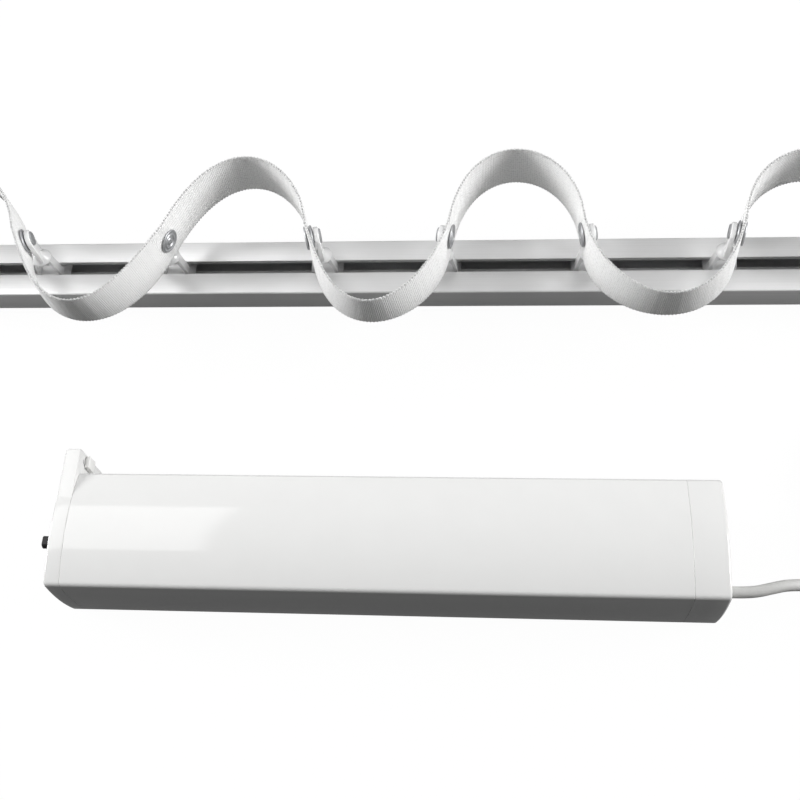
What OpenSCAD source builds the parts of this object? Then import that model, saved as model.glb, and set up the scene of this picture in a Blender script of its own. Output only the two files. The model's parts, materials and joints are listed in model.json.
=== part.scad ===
// Electric curtain track, laid out as a set: a slotted rail with snap hooks and a
// folded tape, a belt drive in its two end boxes, and the motor that plugs into it.
// The rail lies on its mounting face with the slot up, and the motor lies beside it.
// X runs along the rail, Z is up, and the origin is the middle of the mounting face.

/* [Track rail] */
// Length of the rail between the end boxes
rail_len = 540; // [520:1:700]
// Width of the rail
rail_w = 30.3; // [29:0.1:34]
// Height of the rail over its mounting face
rail_h = 20; // [19:0.5:23]
// Height of the rail's wide upper part
rail_side_h = 13.9; // [13:0.1:15]
// Wall of the rail
rail_wall = 1.6; // [1.2:0.1:1.9]
// Width of the slot
slot_w = 7.1; // [6.6:0.1:8]
// Width of the foot on the mounting face
foot_w = 18; // [14:1:22]
// Width of the web over the foot
web_w = 12; // [9:0.5:13]

/* [Belt drive] */
// Thickness of the belt
belt_t = 1.4; // [1:0.1:1.8]
// Width of the belt
belt_w = 6; // [5:0.5:7]
// Length of an end box
box_len = 46; // [42:1:60]
// Thickness of a box cover
cover_t = 1.6; // [1.2:0.1:2]
// Length of the tongue that a box has in the rail
tongue_len = 12; // [8:1:16]
// Diameter of a pulley's upper journal
journal_d = 12; // [10:0.5:13]
// Teeth of a pulley
pulley_teeth = 20; // [16:1:24]

/* [Hooks and tape] */
// Length of tape from snap to snap for a length of 1 between two hooks
fullness = 1.654; // [1.6:0.002:1.7]
// Width of the tape
tape_w = 25.4; // [22:0.2:30]
// Thickness of the tape
tape_t = 1.2; // [0.8:0.1:1.6]
// Height of the snaps over the slot face
snap_rise = 26; // [24:0.5:30]
// Tape below the snaps
tape_drop = 12.7; // [10:0.1:14]
// Length of a runner's shoe
shoe_len = 16; // [16:1:24]
// Length of the master carrier's shoe
master_len = 34; // [28:1:40]
// Length of a runner's arch
arch_len = 13.2; // [12:0.2:15]
// Thickness of a leg of the arch
leg_t = 2; // [1.6:0.1:2.4]
// Thickness of the snap lug
lug_t = 2.4; // [2:0.1:4]
// Width of the snap lug
lug_w = 9; // [8:0.5:11]
// Diameter of the swivel pin
swivel_d = 3; // [2.4:0.1:3.4]
// Diameter of the snap's socket and cap
cap_d = 11.4; // [10:0.2:12.4]
// Diameter of the snap's stud head
stud_d = 5; // [4:0.2:6]

/* [Motor] */
// Length of the motor over its end faces
motor_len = 282; // [270:1:320]
// Width of the motor
motor_w = 51.4; // [49:0.1:56]
// Height of the motor at its edges
motor_h = 40.2; // [39.5:0.1:44]
// Rise of the crowned top
crown = 4.4; // [2:0.1:6]
// Wall of the motor's housing
motor_wall = 2; // [1.6:0.1:2.4]
// Thickness of the hanger plate
plate_t = 6.7; // [6:0.1:8]
// Reach of the hanger plate past the housing
plate_reach = 10; // [9:0.1:14]
// Length of the end cap
cap_len = 14.5; // [13:0.5:18]
// Diameter of the output shaft
shaft_d = 6; // [5:0.5:7]
// Length of the output shaft outside the plate
shaft_out = 12.2; // [10:0.2:16]
// Diameter of the gearbox and of the motor can
can_d = 34; // [33:0.5:35]
// Length of the motor can
can_len = 60; // [50:1:70]
// Diameter of the setting button
button_d = 7; // [6:0.5:8]
// Travel of the setting button
button_travel = 1; // [0.6:0.1:1.2]
// Travel of the release latch
latch_travel = 4; // [3:0.5:5]

/* [Gears] */
// Module of the planetary gears
gear_module = 0.6; // [0.58:0.01:0.62]
// Width of the gears
gear_w = 9; // [7:0.5:11]

/* [Power cord] */
// Diameter of the cord
cord_d = 5; // [4.5:0.1:5.2]
// Turns of the put-away coil
coil_turns = 7.25; // [6.25:1:8.25]
// Length of the plug's body
plug_len = 32; // [28:1:36]
// Diameter of a plug pin
pin_d = 4; // [3.8:0.1:4.8]
// Distance between the plug pins
pin_gap = 18.6; // [17.5:0.1:19.2]

/* [Hidden] */
$fn = 48;
// Clearances: between sliding pieces, round a screw, in a running fit, and for cuts
slide_gap = 0.3;
screw_gap = 0.05;
run_gap = 0.05;
eps = 0.5;

// Rail section
edge_c = 0.6;
rail_low = rail_h - rail_side_h;
floor_z = rail_low + rail_wall;
lip_z = rail_h - rail_wall;
channel_y = rail_w / 2 - rail_wall;
lip_drop = 0.6;
lip_edge = 1.2;
rib_w = 0.8;
rib_h = 0.6;
rib_y = 5.3;

// Belt and end boxes
belt_wall_gap = 2.4;
belt_r = channel_y - belt_wall_gap - belt_t / 2;
belt_drop = 0.5;
belt_z = (floor_z + lip_z) / 2 - belt_w / 2 - belt_drop;
pulley_r = belt_r - belt_t / 2 - slide_gap;
pulley_tooth_h = 0.8;
pulley_in = 18;
pulley_x = rail_len / 2 + pulley_in;
box_wall = 2;
lower_d = 8;
lower_h = 1.6;
thrust_w = 1;
socket_tip = 1;
box_floor = floor_z;
post_d = 5.4;
tongue_root = 5;
post_corner = 4.2;
box_screw_d = 2.2;
box_head_d = 4.4;
box_head_h = 1;
box_screw_len = 7;
box_tip = 1;
box_drive = 2.6;
box_drive_w = 0.7;

// Hooks: 0 is the master carrier, 1 to 6 are the runners, and 7 is the fixed end.
// hook_shift is how far each one lies from an even spacing, and hook_turn is how far
// its lug is turned from the rail's direction, both as the tape happens to lie.
hook_count = 8;
hook_margin = 35.5;
hook_pitch = (rail_len - 2 * hook_margin) / (hook_count - 1);
hook_shift = [-2.5, -0.5, -2, 6.5, -1.5, 1, -2.5, 4.5];
hook_turn = [10, 18, 22, 12.5, 11, 8, 12, 10];
function hook_x(i) = (i - (hook_count - 1) / 2) * hook_pitch + hook_shift[i];
// The snaps face the tape's same side, so every second lug is turned round
function rises(i) = i % 2 == 0;
function lug_angle(i) = rises(i) ? -hook_turn[i] : 180 + hook_turn[i];
snap_z = rail_h + snap_rise;
tape_z = snap_z - tape_drop;
tape_pitch = fullness * hook_pitch;

// Runners
shoe_belt_gap = 1.7;
shoe_floor_gap = 1.4;
shoe_y = belt_r - belt_t / 2 - shoe_belt_gap;
shoe_top = lip_z - lip_drop - slide_gap;
shoe_low = floor_z + shoe_floor_gap;
shoe_c = 2;
shoe_slope = 3.4;
slot_gap = 0.7;
neck_y = slot_w / 2 - slot_gap;
arch_rise = 9;
arch_top = rail_h + arch_rise;
arch_bar = 2;
arch_root = 2;
arch_shoulder = 8.4;
leg_lean = 0.4;
gap_low = 3;
gap_knee = 1.4;
collar_d = 8;
skirt_d = 10;
collar_h = 2.2;
collar_z = arch_top + slide_gap;
pin_head_d = 4.4;
pin_head_h = 1.2;
jaw_t = 1.4;
jaw_lead = 4;
jaw_lift = 1;
jaw_top = lip_z - slide_gap;

// Snap, measured along its axis from the middle of the lug
flange_d = 7;
flange_t = 0.9;
post_r = 1.5;
stud_h = 1.2;
socket_h = 1.7;
socket_lift = 0.4;
socket_floor = 0.5;
rivet_r = 2;
cap_t = 0.9;
tape_off = lug_t / 2 + socket_h + slide_gap + tape_t / 2;
cap_off = tape_off + tape_t / 2 + slide_gap;

// Tape loops, as curves in plan
tape_straight = 6.5;
tape_hole_gap = 0.6;
tape_end = rivet_r + tape_hole_gap;
tape_steps = 20;
// Lean of each loop towards its first hook: the share by which its first handle is longer
fold_lean = [0.5, 0, 0.3, 0.2, 0.1, -0.15, 0];
function lug_dir(i) = [cos(lug_angle(i)), sin(lug_angle(i))];
function tape_dir(i) = rises(i) ? [sin(hook_turn[i]), cos(hook_turn[i])]
                                : [sin(hook_turn[i]), -cos(hook_turn[i])];
function snap_at(i) = [hook_x(i), 0] + tape_off * lug_dir(i);
function bezier(a, b, c, d, t) =
    a * pow(1 - t, 3) + b * 3 * t * pow(1 - t, 2) + c * 3 * t * t * (1 - t) + d * pow(t, 3);
function loop_curve(i, k) =
    let (a = snap_at(i) + tape_straight * tape_dir(i),
         d = snap_at(i + 1) - tape_straight * tape_dir(i + 1),
         b = a + k * (1 + fold_lean[i]) * tape_dir(i),
         c = d - k * (1 - fold_lean[i]) * tape_dir(i + 1))
    [for (n = [0 : tape_steps]) bezier(a, b, c, d, n / tape_steps)];
function path_len(p, n = 0) = n >= len(p) - 1 ? 0 : norm(p[n + 1] - p[n]) + path_len(p, n + 1);
// The handle length that gives a loop its length of tape, found by halving
function handle(i, low = 0, high = tape_pitch, n = 0) =
    let (mid = (low + high) / 2)
    n > 24 ? mid
    : path_len(loop_curve(i, mid)) > tape_pitch - 2 * tape_straight
        ? handle(i, low, mid, n + 1) : handle(i, mid, high, n + 1);
function loop_path(i) = concat([snap_at(i) + tape_end * tape_dir(i)], loop_curve(i, handle(i)),
                               [snap_at(i + 1) - tape_end * tape_dir(i + 1)]);
function side_of(p, n, w) =
    let (t = p[min(n + 1, len(p) - 1)] - p[max(n - 1, 0)], u = t / norm(t))
    p[n] + w * [-u[1], u[0]];

// Motor
motor_x = -130.4;
motor_y = -144.6;
axis_z = motor_h / 2;
seam_x = motor_x + motor_len - cap_len;
house_x = motor_x + plate_t;
motor_end = motor_x + motor_len;
crown_r = (pow(motor_w / 2, 2) + crown * crown) / (2 * crown);
crown_z = motor_h + crown - crown_r;
top_near_r = 2.5;
top_far_r = 3;
low_near_r = 5.5;
low_far_r = 4;
corner_steps = 6;
crown_steps = 16;
side_bow = 1;
bow_steps = 8;
reach_dip = 1.2;
reach_top = motor_h + crown - reach_dip;
reach_r = 1;
port_d = 6;
port_in = 4.4;
port_gap = 1;
head_sunk = 0.2;
motor_screw_d = 2.6;
motor_head_d = 5;
motor_head_h = 2;
motor_screw_len = 14;
shaft_step = 1;
shaft_gap = 1;
tip_len = 5;
tip_step = 0.2;
tip_r = shaft_d / 2 - tip_step;
bearing_d = 17;
bearing_w = 5;
flat_depth = 0.5;
cap_wall = 2.5;

// Planetary gears round the shaft's axis
sun_teeth = 12;
planet_teeth = 18;
ring_teeth = sun_teeth + 2 * planet_teeth;
planets = 3;
planet_r = gear_module * (sun_teeth + planet_teeth) / 2;
pressure = 20;
addendum = 0.8 * gear_module;
dedendum = 1.1 * gear_module;
backlash = 0.12;
gear_gap = 0.6;
carrier_t = 4;
carrier_rim = 4;
carrier_r = planet_r + carrier_rim;
planet_pin_d = 3;
case_bore_r = carrier_r + shaft_gap;
carrier_in = 4;
carrier_x = house_x + carrier_in;
gear_x = carrier_x + carrier_t + gear_gap;
gear_can_gap = 2.5;
can_x = gear_x + gear_w + gear_can_gap;
rotor_d = 24;
rotor_shaft_d = 3;
can_wall = 1.5;
boss_d = 9;
boss_h = 4;
boss_wall = 1;
rotor_gap = 6;

// Control board and button
board_t = 1.6;
board_z = 14;
board_can_gap = 12;
board_cap_gap = 6;
board_side_gap = 0.5;
board_x = can_x + can_len + board_can_gap;
board_end = seam_x - board_cap_gap;
board_len = board_end - board_x;
ledge_w = 3;
ledge_h = 2;
// Parts on the board: two capacitors, and blocks by their place along the board, their near
// side, and their size
capacitor_d = 10;
capacitor_h = 16;
capacitor_y = 8;
capacitor_at = [0.1 * board_len, 0.21 * board_len];
transformer = [26, 20, 14];
transformer_at = [0.32 * board_len, -14];
relay = [14, 24, 9];
relay_at = [0.55 * board_len, -16];
driver = [20, 12, 3];
driver_at = [0.09 * board_len, -17];
button_side = 16;
button_y = motor_y + button_side;
button_flange = 2;
button_rest = 0.6;
button_out = button_travel + button_rest;
button_lip = 1.2;

// Release latch in the reach of the hanger plate
latch_edge = 3.5;
latch_y = motor_y + motor_w / 2 + plate_reach - latch_edge;
latch_w = 3.4;
latch_h = 7;
latch_drop = 10.4;
latch_z = reach_top - latch_drop;
latch_lip = 2;
latch_over = 1;
// Small slot above the latch, in the plate's inner face
slit = [3, 2, 1.2];
slit_up = 4.8;

// Power cord: its exit, the free stretch's points, and the coil past its end
cord_y = -161.2;
cord_z = 20;
gland_d = 8.6;
gland_out = 2;
gland_in = 5;
gland_end = motor_end + gland_out;
route = [
    [gland_end, cord_y, cord_z], [160, -161.2, 20], [166, -160.6, 19.8], [172, -159.1, 19.4],
    [178, -157.6, 18.6], [184, -156.8, 17.2], [190, -156.1, 15.4], [196, -155, 13.2],
    [202, -153.4, 11], [208, -151.4, 8.8], [214, -149.4, 7], [220, -147.7, 5.4],
    [226, -146.4, 4.2], [232, -145.6, 3.6], [238, -145.4, 3.4]];
coil_c = [243, -106];
coil_r = 39.4;
coil_z = 3.4;
coil_pitch = 5.45;
coil_half = coil_turns / 2;
coil_rings = 24;
coil_lead = 5;
// A smooth step from 0 to 1, the coil's radius and height after t turns, and its centre line
function ease(t) = t <= 0 ? 0 : t >= 1 ? 1 : t * t * (3 - 2 * t);
function coil_radius(t) = coil_r - coil_pitch * (coil_half - abs(t - coil_half));
function coil_point(t) = [
    coil_c[0] + coil_radius(t) * cos(360 * t - 90),
    coil_c[1] + coil_radius(t) * sin(360 * t - 90),
    coil_z + coil_pitch * ease((t - coil_half) * 2 + 0.5)];
coil_start = coil_point(0) - [coil_lead, 0, 0];
coil_end = coil_point(coil_turns) + [0, coil_lead, 0];
coil_steps = coil_turns * coil_rings;
coil_path = concat([coil_start],
                   [for (n = [0 : coil_steps]) coil_point(n / coil_rings)], [coil_end]);
// The least gap of the coil to itself, between points at least half a turn apart
coil_gap = min([for (a = [0 : 2 : coil_steps - 12]) for (b = [a + 12 : 2 : coil_steps])
    norm(coil_path[a + 1] - coil_path[b + 1])]) - cord_d;
echo(coil_least_gap = coil_gap);

// Tie round the coil, and the plug at its end
tie_w = 6;
tie_t = 0.7;
tie_slack = 0.1;
tie_in = coil_radius(coil_half + 0.125) - cord_d / 2 - slide_gap;
tie_out = coil_radius(coil_turns - 0.5) + cord_d / 2 + slide_gap;
tie_low = coil_z - cord_d / 2 - tie_slack;
tie_high = coil_z + coil_pitch + cord_d / 2 + slide_gap;
sleeve_len = 22;
sleeve_wall = 1;
sleeve_r0 = cord_d / 2 + sleeve_wall;
sleeve_r1 = 6;
plug_w = 26;
plug_h = 15;
plug_c = 5;
plug_pin_len = 19;
plug_y = coil_end[1] + sleeve_len;

// Shared shapes

// A section drawn in Y and Z, extruded along X
module along_x(x0, x1) {
    translate([x0, 0, 0]) rotate([90, 0, 90]) linear_extrude(x1 - x0) children();
}

// An outline drawn in X and Z, extruded along Y about the middle
module across_y(width) {
    rotate([90, 0, 0]) linear_extrude(width, center = true) children();
}

module x_rod(x0, x1, r) {
    translate([x0, 0, 0]) rotate([0, 90, 0]) cylinder(h = x1 - x0, r = r);
}

// A rectangle from z0 up, centred in Y, with cut corners
module cut_rect(w, z0, z1, c) {
    polygon([[-w / 2 + c, z0], [w / 2 - c, z0], [w / 2, z0 + c], [w / 2, z1 - c],
             [w / 2 - c, z1], [-w / 2 + c, z1], [-w / 2, z1 - c], [-w / 2, z0 + c]]);
}

function unit(v) = v / norm(v);
function ring_of(p, n, r, sides) =
    let (t = unit(p[min(n + 1, len(p) - 1)] - p[max(n - 1, 0)]),
         s = unit(cross(t, [0, 0, 1])),
         u = cross(s, t))
    [for (k = [0 : sides - 1]) let (a = 360 * (k + 0.5) / sides)
        p[n] + r * (cos(a) * s + sin(a) * u)];

// A round tube along a path, as one closed skin of triangles
module tube_along(p, r, sides) {
    last = (len(p) - 1) * sides;
    skin = [for (n = [0 : len(p) - 1]) each ring_of(p, n, r, sides)];
    walls = [for (n = [0 : len(p) - 2]) for (k = [0 : sides - 1])
        let (a = n * sides + k, b = n * sides + (k + 1) % sides)
        each [[a, b, a + sides], [b, b + sides, a + sides]]];
    caps = [for (k = [1 : sides - 2]) each [[0, k + 1, k], [last, last + k, last + k + 1]]];
    polyhedron(points = skin, faces = concat(walls, caps));
}

// Track rail and belt drive

module rail_section() {
    difference() {
        union() {
            cut_rect(rail_w, rail_low, rail_h, edge_c);
            translate([-web_w / 2, rail_wall / 2]) square([web_w, rail_low]);
            translate([-foot_w / 2, 0]) square([foot_w, rail_wall]);
        }
        translate([-channel_y, floor_z]) square([2 * channel_y, lip_z - floor_z]);
        translate([-slot_w / 2, lip_z - eps]) square([slot_w, rail_wall + 2 * eps]);
        translate([-web_w / 2 + rail_wall, rail_wall])
            square([web_w - 2 * rail_wall, rail_low - rail_wall]);
    }
    for (s = [-1, 1]) {
        translate([s * rib_y - rib_w / 2, floor_z - eps]) square([rib_w, rib_h + eps]);
        translate([s * (slot_w + lip_edge) / 2 - lip_edge / 2, lip_z - lip_drop])
            square([lip_edge, lip_drop + eps]);
    }
}

module track_rail() {
    color("silver") along_x(-rail_len / 2, rail_len / 2) rail_section();
}

module belt_outline(r) {
    square([2 * pulley_x, 2 * r], center = true);
    for (s = [-1, 1]) translate([s * pulley_x, 0]) circle(r);
}

module drive_belt() {
    color("dimgray") translate([0, 0, belt_z]) linear_extrude(belt_w) difference() {
        belt_outline(belt_r + belt_t / 2);
        belt_outline(belt_r - belt_t / 2);
    }
}

// Places of a box's screws, from the rail's end: one inside the belt, two at the far corners
box_screw_at = [[post_d / 2 + 1, 0], [box_len - post_corner, rail_w / 2 - post_corner],
                [box_len - post_corner, -rail_w / 2 + post_corner]];

// An end box, drawn for the rail's +X end
module end_box() {
    x0 = rail_len / 2;
    difference() {
        union() {
            difference() {
                translate([x0, -rail_w / 2, 0]) cube([box_len, rail_w, rail_h - cover_t]);
                translate([x0 - eps, -rail_w / 2 + box_wall, box_floor])
                    cube([box_len - box_wall + eps, rail_w - 2 * box_wall, rail_h]);
                translate([x0 + box_wall, -rail_w / 2 + box_wall, -eps])
                    cube([box_len - 2 * box_wall, rail_w - 2 * box_wall,
                          box_floor - lower_h - box_wall + eps]);
            }
            for (p = box_screw_at)
                translate([x0 + p[0], p[1], box_floor - eps])
                    cylinder(h = rail_h - cover_t - box_floor + eps, d = post_d);
            translate([x0 - tongue_len, -shoe_y, floor_z + rib_h + slide_gap])
                cube([tongue_len + tongue_root, 2 * shoe_y, shoe_top - floor_z - rib_h - slide_gap]);
            translate([x0, -shoe_y, box_floor - eps])
                cube([tongue_root, 2 * shoe_y, shoe_top - box_floor + eps]);
        }
        for (p = box_screw_at)
            translate([x0 + p[0], p[1], rail_h - cover_t - box_screw_len])
                cylinder(h = box_screw_len + eps, d = box_screw_d + 2 * screw_gap);
        translate([pulley_x, 0, box_floor - lower_h]) cylinder(h = lower_h + eps, d = lower_d + 2 * run_gap);
    }
}

module box_cover() {
    x0 = rail_len / 2;
    difference() {
        translate([x0, -rail_w / 2, rail_h - cover_t]) cube([box_len, rail_w, cover_t]);
        translate([pulley_x, 0, rail_h - cover_t - eps])
            cylinder(h = cover_t + 2 * eps, d = journal_d + 2 * run_gap);
        for (p = box_screw_at) translate([x0 + p[0], p[1], 0]) {
            translate([0, 0, rail_h - cover_t - eps])
                cylinder(h = cover_t + 2 * eps, d = box_screw_d + 2 * screw_gap);
            translate([0, 0, rail_h - box_head_h])
                cylinder(h = box_head_h + eps, d = box_head_d + 2 * screw_gap);
        }
    }
}

module toothed_wheel(r, teeth, depth) {
    step = 360 / teeth;
    polygon([for (n = [0 : teeth - 1]) each [
        for (q = [[0, 1], [0.4, 1], [0.55, 0], [0.85, 0]])
            let (a = step * (n + q[0]), d = r - depth * (1 - q[1])) [d * cos(a), d * sin(a)]]]);
}

// A pulley with its two journals, about its own axis
module pulley() {
    translate([0, 0, box_floor - lower_h + slide_gap]) cylinder(h = lower_h + eps, d = lower_d);
    translate([0, 0, belt_z]) linear_extrude(belt_w)
        toothed_wheel(pulley_r, pulley_teeth, pulley_tooth_h);
    translate([0, 0, box_floor + slide_gap])
        cylinder(h = belt_z - box_floor - slide_gap + eps, d = lower_d + 2 * thrust_w);
    translate([0, 0, belt_z + belt_w - eps])
        cylinder(h = rail_h - belt_z - belt_w + eps, d = journal_d);
}

module drive_box() {
    color("whitesmoke") mirror([1, 0, 0]) end_box();
}

module drive_box_cover() {
    color("white") mirror([1, 0, 0]) box_cover();
}

// The drive pulley takes the motor's shaft in a round socket, with a flat at its bottom
module drive_pulley() {
    socket_len = min(shaft_out - socket_tip, rail_h - box_floor);
    socket_r = shaft_d / 2 + run_gap;
    key_r = tip_r + run_gap;
    color("gainsboro") translate([-pulley_x, 0, 0]) difference() {
        pulley();
        translate([0, 0, rail_h - shaft_out + tip_len]) cylinder(h = shaft_out, r = socket_r);
        translate([0, 0, rail_h - socket_len]) intersection() {
            cylinder(h = rail_h, r = key_r);
            translate([-key_r, -key_r, 0]) cube([2 * key_r, 2 * key_r - flat_depth, rail_h]);
        }
    }
}

module tail_box() {
    color("whitesmoke") end_box();
}

module tail_box_cover() {
    color("white") box_cover();
}

module tail_pulley() {
    color("gainsboro") translate([pulley_x, 0, 0]) pulley();
}

module box_screws() {
    color("silver") for (m = [0, 1]) mirror([m, 0, 0]) for (p = box_screw_at)
        translate([rail_len / 2 + p[0], p[1], rail_h - box_head_h]) {
            difference() {
                cylinder(h = box_head_h, d = box_head_d);
                translate([-box_drive / 2, -box_drive_w / 2, box_head_h / 2])
                    cube([box_drive, box_drive_w, box_head_h]);
            }
            translate([0, 0, box_head_h - cover_t - box_screw_len + box_tip])
                cylinder(h = cover_t + box_screw_len - box_tip - box_head_h / 2, d = box_screw_d);
        }
}

// Hooks: shoe and arch in the slot, swivelling lug, and snap

module shoe(length) {
    across_y(2 * shoe_y) polygon([
        [-length / 2, shoe_low + shoe_c], [-length / 2 + shoe_c, shoe_low],
        [length / 2 - shoe_c, shoe_low], [length / 2, shoe_low + shoe_c],
        [length / 2 - shoe_slope, shoe_top], [-length / 2 + shoe_slope, shoe_top]]);
}

// The arch stands in the slot on two slanted legs with an open triangle between them
module arch() {
    half = arch_len / 2;
    lean = half - leg_lean;
    bar = skirt_d / 2 - leg_lean;
    gap = half - leg_t;
    knee = gap - leg_lean;
    across_y(2 * neck_y) difference() {
        polygon([[-half, shoe_top - arch_root], [half, shoe_top - arch_root],
                 [lean, arch_top - arch_shoulder], [bar, arch_top], [-bar, arch_top],
                 [-lean, arch_top - arch_shoulder]]);
        for (s = [-1, 1])
            polygon([[s * gap, rail_h - gap_low], [s * knee, rail_h + gap_knee],
                     [s * (pin_head_d / 2 + slide_gap), arch_top - arch_bar],
                     [0, arch_top - arch_bar], [0, rail_h - gap_low]]);
    }
}

module runner_body(length) {
    difference() {
        union() {
            shoe(length);
            arch();
        }
        translate([0, 0, arch_top - arch_bar - eps])
            cylinder(h = arch_bar + 2 * eps, d = swivel_d + 2 * run_gap);
    }
}

// The lug: a flat tongue with a round top over the collar, drilled for the snap's post
module lug(z0) {
    difference() {
        union() {
            translate([-lug_t / 2, -lug_w / 2, z0]) cube([lug_t, lug_w, snap_z - z0]);
            translate([0, 0, snap_z]) x_rod(-lug_t / 2, lug_t / 2, lug_w / 2);
        }
        translate([0, 0, snap_z]) x_rod(-lug_t, lug_t, post_r + screw_gap);
    }
}

module pendant(i) {
    translate([hook_x(i), 0, 0]) rotate([0, 0, lug_angle(i)]) {
        lug(collar_z + collar_h - eps);
        translate([0, 0, collar_z]) cylinder(h = collar_h, d1 = skirt_d, d2 = collar_d);
        translate([0, 0, arch_top - arch_bar - slide_gap])
            cylinder(h = arch_bar + 2 * slide_gap + eps, d = swivel_d);
        translate([0, 0, arch_top - arch_bar - slide_gap - pin_head_h])
            cylinder(h = pin_head_h, d = pin_head_d);
    }
}

// A snap: the stud riveted through the lug, and the socket riveted through the tape
module snap(i) {
    side = lug_t / 2;
    color("silver") translate([hook_x(i), 0, snap_z]) rotate([0, 0, lug_angle(i)]) {
        x_rod(-side - flange_t, -side, flange_d / 2);
        x_rod(-side - flange_t / 2, side + stud_h / 2, post_r);
        x_rod(side, side + stud_h, stud_d / 2);
        difference() {
            x_rod(side + socket_lift, side + socket_h, cap_d / 2);
            x_rod(side, side + socket_h - socket_floor, stud_d / 2 + slide_gap);
        }
        x_rod(side + socket_h - socket_floor / 2, cap_off + cap_t / 2, rivet_r);
        difference() {
            x_rod(cap_off, cap_off + cap_t, cap_d / 2);
            x_rod(cap_off + cap_t / 2, cap_off + cap_t + eps, cap_d / 4);
        }
    }
}

module runner(i) {
    color("white") translate([hook_x(i), 0, 0]) runner_body(shoe_len);
}

module hook_pendant(i) {
    color("white") pendant(i);
}

// The master carrier has a jaw round the far run of the belt
module master_carrier() {
    jaw_y = belt_r - belt_t / 2 - slide_gap - jaw_t;
    jaw_out = belt_r + belt_t / 2 + slide_gap + jaw_t;
    jaw_len = master_len - 2 * jaw_lead;
    jaw_z = shoe_low + jaw_lift;
    roof_z = belt_z + belt_w + slide_gap;
    color("white") translate([hook_x(0), 0, 0]) {
        runner_body(master_len);
        translate([-jaw_len / 2, shoe_y - eps, jaw_z])
            cube([jaw_len, jaw_y + jaw_t - shoe_y + eps, jaw_top - jaw_z]);
        translate([-jaw_len / 2, jaw_out - jaw_t, jaw_z]) cube([jaw_len, jaw_t, jaw_top - jaw_z]);
        translate([-jaw_len / 2, shoe_y - eps, roof_z])
            cube([jaw_len, jaw_out - shoe_y + eps, jaw_top - roof_z]);
    }
}

module master_pendant() {
    color("white") pendant(0);
}

module master_snap() {
    snap(0);
}

// The fixed end is one moulding: a block in the rail, its post, and a lug
module end_hook() {
    color("white") translate([hook_x(hook_count - 1), 0, 0]) {
        shoe(shoe_len);
        translate([-arch_len / 2, -neck_y, shoe_top - eps])
            cube([arch_len, 2 * neck_y, arch_top - shoe_top + eps]);
        rotate([0, 0, lug_angle(hook_count - 1)]) lug(arch_top - eps);
    }
}

module end_snap() {
    snap(hook_count - 1);
}

// Tape

module tape_loop(i) {
    p = loop_path(i);
    n = len(p) - 1;
    color("white") translate([0, 0, tape_z]) linear_extrude(tape_w)
        polygon(concat([for (k = [0 : n]) side_of(p, k, tape_t / 2)],
                       [for (k = [n : -1 : 0]) side_of(p, k, -tape_t / 2)]));
}

// Motor

function arc_points(c, r, a0, a1, n) =
    [for (k = [0 : n]) let (a = a0 + (a1 - a0) * k / n) c + r * [cos(a), sin(a)]];
// Where a corner of radius r touches the crowned top, seen from the crown's centre
function crown_angle(y, r) = acos(y / (crown_r - r));
function crown_corner(y, r) = [y, crown_z + (crown_r - r) * sin(crown_angle(y, r))];

// A point of the bowed near side, t from its top to its foot
function bow_point(t, inset) =
    let (top = crown_corner(top_near_r - motor_w / 2, top_near_r)[1])
    [inset - motor_w / 2 - 4 * side_bow * t * (1 - t), top + (low_near_r - top) * t];

// The motor's section about its middle: near side at -Y, crowned top, inset by a wall
module motor_section(inset) {
    half = motor_w / 2;
    near = -half + top_near_r;
    far = half - top_far_r;
    near_a = crown_angle(near, top_near_r);
    far_a = crown_angle(far, top_far_r);
    polygon(concat(
        arc_points([-half + low_near_r, low_near_r], low_near_r - inset, 180, 270, corner_steps),
        arc_points([half - low_far_r, low_far_r], low_far_r - inset, 270, 360, corner_steps),
        arc_points(crown_corner(far, top_far_r), top_far_r - inset, 0, far_a, corner_steps),
        arc_points([0, crown_z], crown_r - inset, far_a + 1, near_a - 1, crown_steps),
        arc_points(crown_corner(near, top_near_r), top_near_r - inset, near_a, 180, corner_steps),
        [for (k = [1 : bow_steps - 1]) bow_point(k / bow_steps, inset)]));
}

// The hanger plate's section past the housing, flat on top
module reach_section() {
    far = motor_w / 2 + plate_reach;
    polygon(concat(
        [[0, 0]],
        arc_points([far - low_far_r, low_far_r], low_far_r, 270, 360, corner_steps),
        arc_points([far - reach_r, reach_top - reach_r], reach_r, 0, 90, corner_steps),
        [[0, reach_top]]));
}

// Screw ports in the section's four corners
module port_places() {
    for (s = [-1, 1]) for (z = [port_in, motor_h - port_in])
        translate([s * (motor_w / 2 - port_in), z]) children();
}

module motor_housing() {
    color("white") translate([0, motor_y, 0]) {
        along_x(house_x, seam_x) difference() {
            union() {
                difference() {
                    motor_section(0);
                    motor_section(motor_wall);
                }
                intersection() {
                    motor_section(motor_wall / 2);
                    port_places() circle(d = port_d);
                }
            }
            port_places() circle(d = motor_screw_d + 2 * screw_gap);
        }
        for (m = [0, 1]) mirror([0, m, 0])
            translate([board_x, motor_w / 2 - motor_wall - ledge_w, board_z - ledge_h])
                cube([board_len, ledge_w + motor_wall / 2, ledge_h]);
    }
}

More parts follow.
